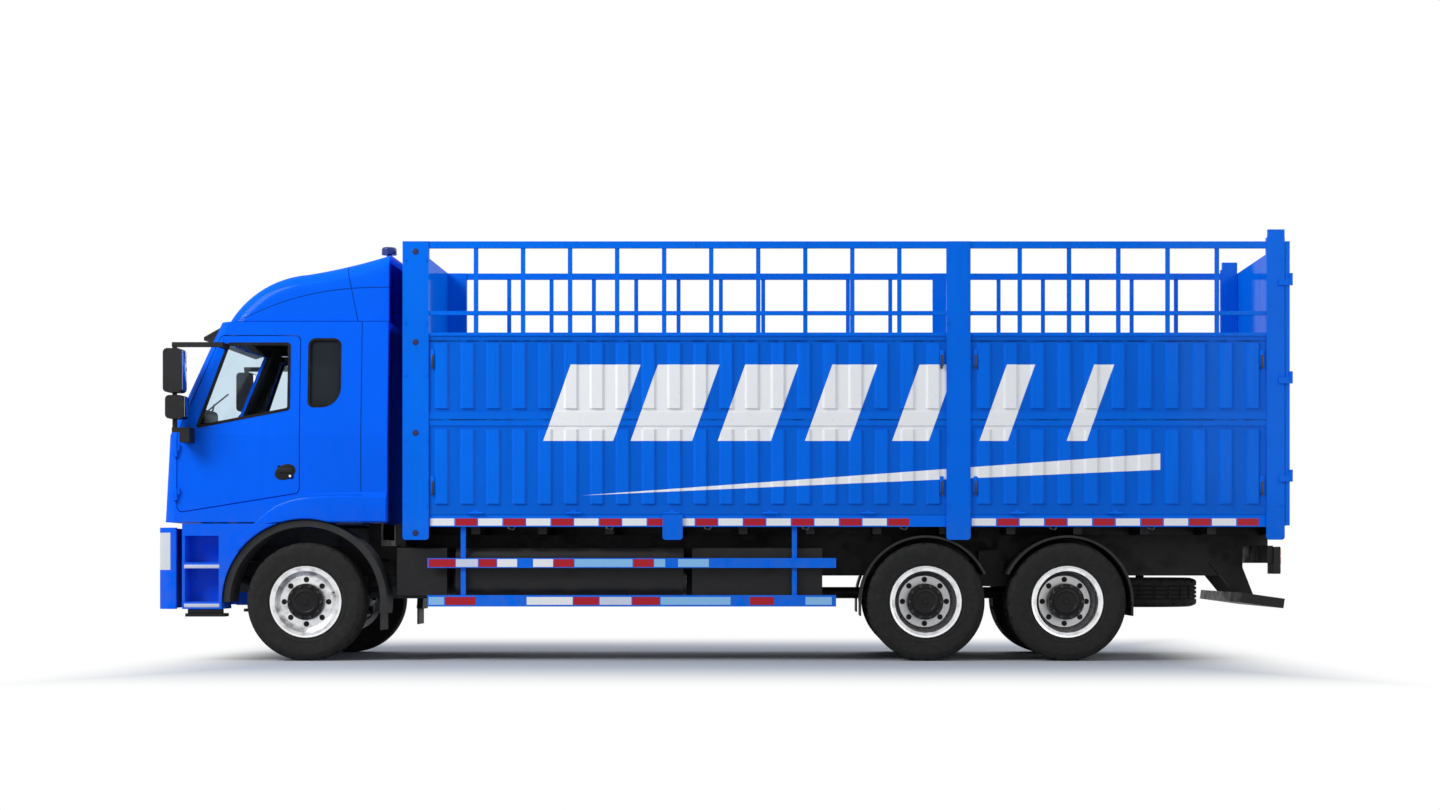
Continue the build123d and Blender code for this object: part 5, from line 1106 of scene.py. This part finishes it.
class TRUCK_OT_cab_trim(bpy.types.Operator):
    """Adds window seals, door handles, mirror glass, step edges, wipers and the instrument hood"""

    bl_idname = "truck.cab_trim"
    bl_label = "Cab trim"

    def execute(self, context):
        width = sizes().seal_width
        for place, sign in SIDES:
            door = f"cab_door_{place}"
            mesh = bmesh.new()
            add_seal(mesh, DOOR_WINDOW, DOOR_WINDOW_RADII, sign, width)
            shape(f"door_seal_{place}", mesh, ["seal_rubber"], door)
            mesh = bmesh.new()
            add_seal(mesh, QUARTER_WINDOW, QUARTER_RADII, sign, width * QUARTER_SEAL_SHARE)
            shape(f"quarter_seal_{place}", mesh, ["seal_rubber"], "cab")
            mesh = bmesh.new()
            add_plate(mesh, handle_outline(), sign, HANDLE_PLATE_Y, 0.004)
            add_slab(mesh, sign, *HANDLE_BAR, 0.006, finish=1, segments=3)
            add_stud(mesh, sign, *HANDLE_LOCK, 0.011, finish=2)
            finishes = ["dark_trim", "black_moulding", "bright_steel"]
            shape(f"door_handle_{place}", mesh, finishes, door)
            mesh = bmesh.new()
            for x, z in MIRRORS:
                add_slab(mesh, sign, [x + out for out in MIRROR_GLASS], MIRROR_Y, z, 0.0015)
            shape(f"mirror_glass_{place}", mesh, ["mirror_glass"], door)
            mesh = bmesh.new()
            for z in STEP_EDGES_Z:
                add_slab(mesh, sign, STEP_EDGE_X, STEP_EDGE_Y, around(z, STEP_EDGE_HALF), 0.004)
            shape(f"step_edges_{place}", mesh, ["step_edge"], "chassis")
        mesh = bmesh.new()
        for start in WIPERS_Y:
            foot = off_screen(start, WIPER_FOOT_Z, 0.028)
            tip = off_screen(start + WIPER_TIP[0], WIPER_TIP[1], 0.024)
            add_path(mesh, [foot, (foot + tip) / 2 + WIPER_BEND, tip], 0.009)
            add_path(mesh, [off_screen(start + y, z, 0.014) for y, z in WIPER_BLADE], 0.008)
            add_rod(mesh, foot + WIPER_PIVOT[0], foot + WIPER_PIVOT[1], 0.022, segments=14)
        shape("wipers", mesh, ["dark_trim"], "cab")
        mesh = bmesh.new()
        add_block(mesh, *HOOD, 0.040, segments=4)
        add_block(mesh, *HOOD_FACE, 0.006, finish=1)
        shape("instrument_hood", mesh, ["black_moulding", "dark_trim"], "cab")
        return {"FINISHED"}


# Headlamps: places across, and ring, bowl and glass as finish, share of the radius and distance out
HEADLAMP_KINDS = ["bright_steel", "clear_lens", "amber_lens", "dark_trim"]
HEADLAMPS_Y = (0.875, 1.015)
HEADLAMP_Z = 1.045
HEADLAMP_RADIUS = 0.062
HEADLAMP_STEPS = ((3, 1.12, 0.002), (0, 1.0, 0.0035), (1, 0.72, 0.006))
HEADLAMP_ROOT = 0.02
# The indicator and the dark bars over and under the headlamps: distance out, ends, heights, bevel and finish
HEADLAMP_BARS = (
    (0.003, (0.82, 1.06), (0.875, 0.915), 0.004, 2),
    (0.0018, (0.80, 1.095), (0.925, 0.945), 0.001, 3),
    (0.0018, (0.80, 1.095), (1.138, 1.150), 0.001, 3),
)
# Tail lenses from the lowest up: their margins across and in height, the gap between them, root and face
TAIL_KINDS = ["clear_lens", "red_lens", "amber_lens"]
TAIL_MARGINS = (0.012, 0.01)
TAIL_GAP = 0.005
TAIL_X = (-0.002, 0.008)
# Grille slats: their front and root, the margin at their ends, and the shares of the pitch under and over
# a slat's middle. Then the bright bars at both ends, and the blank plate
GRILLE_SLATS = 6
SLAT_X = (-0.010, 0.015)
SLAT_MARGIN = 0.03
SLAT_SHARES = (0.30, 0.22)
GRILLE_BAR_X = (-0.007, 0.015)
GRILLE_BAR_MARGIN = 0.004
GRILLE_BAR_WIDTH = 0.022
PLATE_X = (-0.0035, 0.004)
PLATE_Y = (-0.22, 0.22)
PLATE_Z = (0.60, 0.74)


class TRUCK_OT_lamps(bpy.types.Operator):
    """Adds headlamp bowls, indicators, tail lenses, grille slats and a blank plate"""

    bl_idname = "truck.lamps"
    bl_label = "Lamps and plate"

    def execute(self, context):
        for place, sign in SIDES:
            self.headlamps(place, sign)
            self.tail_lenses(place, sign)
        low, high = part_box("front_grille")
        pitch = (high.z - low.z) / GRILLE_SLATS
        below, above = (pitch * share for share in SLAT_SHARES)
        mesh = bmesh.new()
        for number in range(GRILLE_SLATS):
            z = low.z + (number + 0.5) * pitch
            start = (low.x + SLAT_X[0], low.y + SLAT_MARGIN, z - below)
            add_block(mesh, start, (low.x + SLAT_X[1], high.y - SLAT_MARGIN, z + above), 0.006)
        for y in (low.y + GRILLE_BAR_MARGIN, high.y - GRILLE_BAR_MARGIN - GRILLE_BAR_WIDTH):
            start = (low.x + GRILLE_BAR_X[0], y, low.z + GRILLE_BAR_MARGIN)
            end = (low.x + GRILLE_BAR_X[1], y + GRILLE_BAR_WIDTH, high.z - GRILLE_BAR_MARGIN)
            add_block(mesh, start, end, 0.005, finish=1)
        shape("grille_slats", mesh, ["dark_trim", "bright_steel"], "cab")
        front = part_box("front_bumper")[0].x
        mesh = bmesh.new()
        add_slab(mesh, 1, [front + x for x in PLATE_X], PLATE_Y, PLATE_Z, 0.002)
        shape("front_plate_blank", mesh, ["plate_white"], "chassis")
        return {"FINISHED"}

    def headlamps(self, place, sign):
        front = half_box("headlamps", sign)[0].x
        root = front + HEADLAMP_ROOT
        mesh = bmesh.new()
        for y in HEADLAMPS_Y:
            for finish, share, out in HEADLAMP_STEPS:
                start = (root, sign * y, HEADLAMP_Z)
                end = (front - out, sign * y, HEADLAMP_Z)
                add_rod(mesh, start, end, HEADLAMP_RADIUS * share, segments=28, finish=finish, bevel=0.0015)
        for out, y, z, bevel, finish in HEADLAMP_BARS:
            add_slab(mesh, sign, (front - out, root), y, z, bevel, finish)
        shape(f"headlamp_bowls_{place}", mesh, HEADLAMP_KINDS, "chassis")

    def tail_lenses(self, place, sign):
        low, high = half_box("tail_lamps", sign)
        across, upright = TAIL_MARGINS
        tall = (high.z - low.z - 2 * (upright + TAIL_GAP)) / len(TAIL_KINDS)
        mesh = bmesh.new()
        for number in range(len(TAIL_KINDS)):
            z = low.z + upright + number * (tall + TAIL_GAP)
            start = (high.x + TAIL_X[0], low.y + across, z)
            add_block(mesh, start, (high.x + TAIL_X[1], high.y - across, z + tall), 0.003, finish=number)
        shape(f"tail_lenses_{place}", mesh, TAIL_KINDS, "chassis")


# Bolts on the posts
BOLT_POSTS_X = (-2.925, -2.735, 2.05, 2.245, 4.985, 5.10)
BOLTS_Z = (1.43, 2.02, 2.62, 3.10, 3.68)
BOLT_Y = (1.2495, 1.2575)
# Sockets in the front post, each with a bolt in it
SOCKET_X = -2.830
SOCKETS_Z = (1.175, 2.093, 2.925, 3.756)
SOCKET_Y = (1.2495, 1.2525)
SOCKET_BOLT_Y = (1.252, 1.2575)
# Panel locks: a plate and a bolt on it
PANEL_LOCKS_X = (-2.675, 1.995, 2.305, 4.93)
PANEL_LOCKS_Z = (1.62, 2.78)
# Along the edge rail: the first hinge's place in its bay, the step to the next, and the rope hook after each
HINGE_START = 0.42
HINGE_STEP = 0.9
HINGE_PIN = (1.242, 1.357)
HINGE_LEAF = ((1.2245, 1.236), (1.335, 1.385))
ROPE_HOOK = ((0.30, 1.222, 1.237), (0.30, 1.232, 1.215), (0.345, 1.232, 1.205), (0.36, 1.222, 1.230))
# The sill's web as ranges of x, y and z, and the stop before the bed with its two feet
SILL_WEB = ((-2.93, 5.10), (0.405, 0.4245), (1.160, 1.3035))
BED_STOP = ((-3.055, -1.02, 1.0605), (-2.952, 1.02, 1.262))
STOP_FEET_Y = ((-0.44, -0.37), (0.37, 0.44))
STOP_FOOT_X = (-3.068, -3.050)
STOP_FOOT_Z = (1.0605, 1.20)


class TRUCK_OT_body_fittings(bpy.types.Operator):
    """Adds bolts, locks, hinges and rope hooks to the stake body, its sill webs and front stop"""

    bl_idname = "truck.body_fittings"
    bl_label = "Body fittings"

    def execute(self, context):
        for place, sign in SIDES:
            mesh = bmesh.new()
            for x in BOLT_POSTS_X:
                for z in BOLTS_Z:
                    add_stud(mesh, sign, x, BOLT_Y, z, 0.015, segments=6)
            for z in SOCKETS_Z:
                add_stud(mesh, sign, SOCKET_X, SOCKET_Y, z, 0.030, finish=2, bevel=0.001)
                add_stud(mesh, sign, SOCKET_X, SOCKET_BOLT_Y, z, 0.014, segments=6, finish=1)
            for x in PANEL_LOCKS_X:
                for z in PANEL_LOCKS_Z:
                    add_slab(mesh, sign, around(x, 0.018), (1.230, 1.246), around(z, 0.075), 0.005)
                    add_slab(mesh, sign, around(x, 0.010), (1.244, 1.256), (z - 0.10, z + 0.03), 0.004, 1)
            for start, end in RAIL_BAYS:
                for number in range(int((end - start) / HINGE_STEP)):
                    self.add_hinge(mesh, sign, start + HINGE_START + number * HINGE_STEP)
            finishes = ["body_paint", "dark_steel", "blue_lens"]
            shape(f"body_fittings_{place}", mesh, finishes, "chassis")
            mesh = bmesh.new()
            add_slab(mesh, sign, *SILL_WEB, 0.004)
            shape(f"sill_web_{place}", mesh, ["chassis_paint"], "chassis")
        mesh = bmesh.new()
        add_block(mesh, *BED_STOP, 0.008)
        for y in STOP_FEET_Y:
            add_slab(mesh, 1, STOP_FOOT_X, y, STOP_FOOT_Z, 0.004)
        shape("bed_front_stop", mesh, ["chassis_paint"], "chassis")
        return {"FINISHED"}

    def add_hinge(self, mesh, sign, x):
        """A hinge on the edge rail, and the rope hook after it"""
        y, z = HINGE_PIN
        add_rod(mesh, (x - 0.07, sign * y, z), (x + 0.07, sign * y, z), 0.011, segments=10)
        add_slab(mesh, sign, around(x, 0.025), *HINGE_LEAF, 0.003)
        hook = [Vector((x + along, sign * y, z)) for along, y, z in ROPE_HOOK]
        add_path(mesh, hook, 0.006, segments=8, finish=1)


# Rear doors: the outer face and the outermost plane behind, the lock rod, its keepers, end cams and lever
DOOR_FACE_X = 5.184
DOOR_ROOT_X = DOOR_FACE_X - 0.001
OUTERMOST_X = 5.2095
LOCK_ROD_X = 5.200
LOCK_ROD_Y = 0.300
LOCK_ROD_RADIUS = 0.0103
REAR_DOOR_Z = (1.250, 3.845)
KEEPERS_Z = (1.700, 2.600, 3.500)
KEEPER_BOLT_Y = 0.052
CAM_HEIGHT = 0.045
LEVER_Z = 2.060
LEVER_END_Y = LOCK_ROD_Y + 0.46
LEVER_REST_Y = LOCK_ROD_Y + 0.46 * 0.62
# The lever's boss, arm, grip and two rests: ranges of x, y and height from its middle, with bevel and finish
LEVER = (
    ((LOCK_ROD_X - 0.013, OUTERMOST_X), around(LOCK_ROD_Y, 0.020), (-0.035, 0.035), 0.007, 0),
    ((LOCK_ROD_X - 0.003, OUTERMOST_X - 0.002), (LOCK_ROD_Y, LEVER_END_Y), (-0.016, 0.016), 0.003, 0),
    ((LOCK_ROD_X - 0.004, OUTERMOST_X), (LEVER_END_Y - 0.13, LEVER_END_Y + 0.01), (-0.020, 0.020), 0.004, 2),
    ((DOOR_ROOT_X, LOCK_ROD_X - 0.003), around(LEVER_REST_Y, 0.022), (-0.050, 0.050), 0.003, 1),
    ((DOOR_ROOT_X, OUTERMOST_X), around(LEVER_REST_Y, 0.022), (-0.050, -0.018), 0.003, 1),
)
DOOR_RUBBER = ((5.150, 5.1835), (0.0002, 0.0063), REAR_DOOR_Z)


class TRUCK_OT_rear_door_gear(bpy.types.Operator):
    """Adds a lock rod with keepers, end cams and a lever to each rear door, and the doors' rubber"""

    bl_idname = "truck.rear_door_gear"
    bl_label = "Rear door gear"

    def execute(self, context):
        low, high = REAR_DOOR_Z
        for place, sign in SIDES:
            door = f"rear_door_{place}"
            rod_y = sign * LOCK_ROD_Y
            mesh = bmesh.new()
            add_rod(mesh, (LOCK_ROD_X, rod_y, low), (LOCK_ROD_X, rod_y, high), LOCK_ROD_RADIUS, segments=16)
            for z in KEEPERS_Z:
                self.add_keeper(mesh, sign, z)
            for z in ((low, low + CAM_HEIGHT), (high - CAM_HEIGHT, high)):
                add_slab(mesh, sign, (DOOR_FACE_X + 0.002, OUTERMOST_X), around(LOCK_ROD_Y, 0.026), z, 0.008)
            for x, y, z, bevel, finish in LEVER:
                add_slab(mesh, sign, x, y, [LEVER_Z + end for end in z], bevel, finish)
            finishes = ["bright_steel", "dark_steel", "black_moulding"]
            shape(f"rear_lock_{place}", mesh, finishes, door)
            mesh = bmesh.new()
            add_slab(mesh, sign, *DOOR_RUBBER, 0.001)
            shape(f"rear_door_rubber_{place}", mesh, ["seal_rubber"], door)
        return {"FINISHED"}

    def add_keeper(self, mesh, sign, z):
        """A keeper round the lock rod, with a bolted foot on each side"""
        clamp_x = (DOOR_ROOT_X, OUTERMOST_X)
        foot_x = (DOOR_ROOT_X, DOOR_FACE_X + 0.005)
        add_slab(mesh, sign, clamp_x, around(LOCK_ROD_Y, 0.034), around(z, 0.046), 0.006, 1)
        for y in around(LOCK_ROD_Y, KEEPER_BOLT_Y):
            add_slab(mesh, sign, foot_x, around(y, 0.02), around(z, 0.03), 0.002, 1)
            add_rod(mesh, (DOOR_FACE_X, sign * y, z), (DOOR_FACE_X + 0.012, sign * y, z), 0.010, segments=6)


# Seats stand on these places, and their boxes and pads are ranges of x from there, half widths and heights.
# A pad also has its crown and its lean
SEAT_X = -4.373
SEAT_Y = 0.62
SEAT_FLOOR_Z = 1.335
SEAT_BOXES = (((0.01, 0.42), 0.21, (0.0, 0.30)), ((-0.02, 0.44), 0.24, (0.29, 0.36)))
SEAT_PADS = {
    "cushion": ((-0.045, 0.40), 0.245, (0.365, 0.475), 0.014, 0.0),
    "back": ((0.375, 0.465), 0.235, (0.43, 0.97), 0.012, 0.17),
    "head_rest": ((0.485, 0.565), 0.13, (0.985, 1.11), 0.008, 0.15),
}
PAD_CUTS = 7
PAD_PULL = 0.10


def seat_corners(sign, x, half, z):
    """The lowest and highest corner of a piece of a seat."""
    y = around(sign * SEAT_Y, half)
    return [Vector((SEAT_X + x[end], y[end], SEAT_FLOOR_Z + z[end])) for end in (0, 1)]


def add_pad(mesh, low, high, crown, lean):
    """A stuffed pad: its faces crown, its corners draw in, and it leans back about its lower front edge."""
    middle, half = (low + high) / 2, (high - low) / 2
    bmesh.ops.create_cube(mesh, size=2.0)
    bmesh.ops.subdivide_edges(mesh, edges=mesh.edges[:], cuts=PAD_CUTS, use_grid_fill=True)
    for vert in mesh.verts:
        unit = vert.co.copy()
        for axis in range(3):
            one, two = unit[(axis + 1) % 3], unit[(axis + 2) % 3]
            place = unit[axis] * half[axis] * (1 - PAD_PULL * one ** 4 * two ** 4)
            if abs(unit[axis]) > 0.999:
                place += math.copysign(crown * (1 - one ** 2) * (1 - two ** 2), unit[axis])
            vert.co[axis] = middle[axis] + place
        vert.co.x += lean * (vert.co.z - low.z)


class TRUCK_OT_seats(bpy.types.Operator):
    """Replaces the plain seat solids by padded cushions, backs and head rests on boxes"""

    bl_idname = "truck.seats"
    bl_label = "Seats"

    def execute(self, context):
        for place, sign in SIDES:
            mesh = bmesh.new()
            for x, half, z in SEAT_BOXES:
                add_block(mesh, *seat_corners(sign, x, half, z), 0.02)
            made = shape(f"seat_box_{place}", mesh, ["dash_moulding"], "cab")
            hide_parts("seats")
            for part, (x, half, z, crown, lean) in SEAT_PADS.items():
                mesh = bmesh.new()
                add_pad(mesh, *seat_corners(sign, x, half, z), crown, lean)
                pad = shape(f"seat_{part}_{place}", mesh, ["seat_cloth"], "cab", 60)
        return {"FINISHED"}


# The camera's place, the pixel that its axis goes through, and the picture's size in pixels
CAMERA_X = 0.768
CAMERA_Z = 0.9
AXIS_PIXEL = (808, 563)
FRAME_PIXELS = (1440, 810)
SENSOR = 36.0
# To the eye the floor turns white where the truck's shadow has faded out, between these distances
FADE_X = (3.9, 5.5)
FADE_Y = (2.2, 6.2)
FLOOR_SIZE = 90.0
WHITE = (1, 1, 1, 1)
SKY = (0.93, 0.96, 1.0, 1)
SKY_STRENGTH = 0.36
# Soft lamps: name, place, what each points at, size and power
LAMPS = (
    ("key", (-10.5, -8.0, 9.5), (0, 0, 1.6), 6.0, 1550.0),
    ("fill", (9.0, -10.0, 6.0), (1, 0, 1.5), 9.0, 380.0),
    ("top", (0.0, 1.5, 11.5), (0, 0, 1.0), 11.0, 580.0),
    ("back", (2.0, 10.0, 8.0), (0, 0, 2.0), 9.0, 320.0),
    ("tail", (12.0, 3.0, 6.0), (5.2, 0, 2.0), 6.0, 420.0),
)


class TRUCK_OT_stage(bpy.types.Operator):
    """Lays the pale floor, sets soft lamps and the camera"""

    bl_idname = "truck.stage"
    bl_label = "Stage"

    def execute(self, context):
        stage = context.scene.truck_stage
        ground = bmesh.new()
        bmesh.ops.create_grid(ground, x_segments=1, y_segments=1, size=FLOOR_SIZE)
        data = bpy.data.meshes.new("floor")
        ground.to_mesh(data)
        ground.free()
        data.materials.append(self.floor_material(stage.floor))
        self.stand(context, "floor", data)
        self.light_world(context.scene)
        for name, place, target, size, power in LAMPS:
            data = bpy.data.lights.new(name, "AREA")
            data.size = size
            data.energy = power
            lamp = self.stand(context, name, data, place)
            lamp.rotation_euler = (Vector(target) - Vector(place)).to_track_quat("-Z", "Y").to_euler()
        data = bpy.data.cameras.new("camera")
        data.sensor_width = SENSOR
        data.lens = stage.lens
        data.clip_end = 400.0
        data.shift_x = (FRAME_PIXELS[0] / 2 - AXIS_PIXEL[0]) / FRAME_PIXELS[0]
        data.shift_y = (AXIS_PIXEL[1] - FRAME_PIXELS[1] / 2) / FRAME_PIXELS[0]
        camera = self.stand(context, "camera", data, (CAMERA_X, -stage.distance, CAMERA_Z))
        camera.rotation_euler = (math.pi / 2, 0, 0)
        context.scene.camera = camera
        context.scene.view_settings.view_transform = "Standard"
        return {"FINISHED"}

    def stand(self, context, name, data, place=(0, 0, 0)):
        """Puts an object of the stage in its place"""
        made = bpy.data.objects.new(name, data)
        made.location = place
        context.scene.collection.objects.link(made)
        return made

    def floor_material(self, colour):
        """A dull floor that keeps the truck's shadow, and is white further out"""
        look = Finish("stage_floor", colour, 0.9)
        look.put("Specular IOR Level", 0.0)
        glow = look.node("ShaderNodeEmission", {"Color": WHITE})
        fades = [look.ramp(look.math("ABSOLUTE", axis), *fade, interpolation_type="SMOOTHSTEP")
                 for axis, fade in zip(look.axes(), (FADE_X, FADE_Y))]
        share = look.math("MULTIPLY", look.seen(), look.math("MAXIMUM", *fades))
        look.surface(share, look.shader, glow, "Material Output")
        return look.material

    def light_world(self, scene):
        """A pale sky that lights the truck, and white behind it"""
        scene.world = bpy.data.worlds.new("studio")
        scene.world.use_nodes = True
        sky = Nodes(scene.world.node_tree)
        light = sky.tree.nodes["Background"]
        sky.join(SKY, light.inputs["Color"])
        sky.join(SKY_STRENGTH, light.inputs["Strength"])
        backdrop = sky.node("ShaderNodeBackground", {"Color": WHITE})
        sky.surface(sky.seen(), light, backdrop, "World Output")


class TRUCK_PT_dressing(bpy.types.Panel):
    """Lists the truck's dressing steps and their sizes"""

    bl_idname = "TRUCK_PT_dressing"
    bl_label = "Stake truck"
    bl_space_type = "VIEW_3D"
    bl_region_type = "UI"
    bl_category = "Truck"

    def draw(self, context):
        for group in (context.scene.truck_paint, context.scene.truck_sizes, context.scene.truck_stage):
            for key in group.__annotations__:
                self.layout.prop(group, key)
        for operator in OPERATORS:
            self.layout.operator(operator.bl_idname)


GROUPS = {"truck_paint": TruckPaint, "truck_sizes": TruckSizes, "truck_stage": TruckStage}
OPERATORS = (
    TRUCK_OT_paint_solids,
    TRUCK_OT_tyres,
    TRUCK_OT_wheel_fittings,
    TRUCK_OT_marker_tape,
    TRUCK_OT_cab_trim,
    TRUCK_OT_fenders,
    TRUCK_OT_lamps,
    TRUCK_OT_body_fittings,
    TRUCK_OT_rear_door_gear,
    TRUCK_OT_seats,
    TRUCK_OT_stage,
)


def register():
    for made in (*GROUPS.values(), *OPERATORS, TRUCK_PT_dressing):
        bpy.utils.register_class(made)
    for name, group in GROUPS.items():
        setattr(bpy.types.Scene, name, bpy.props.PointerProperty(type=group))


def unregister():
    for name in GROUPS:
        delattr(bpy.types.Scene, name)
    for made in (TRUCK_PT_dressing, *reversed(OPERATORS), *GROUPS.values()):
        bpy.utils.unregister_class(made)


def main():
    register()
    for operator in OPERATORS:
        group, step = operator.bl_idname.split(".")
        getattr(getattr(bpy.ops, group), step)()


if __name__ == "__main__":
    main()
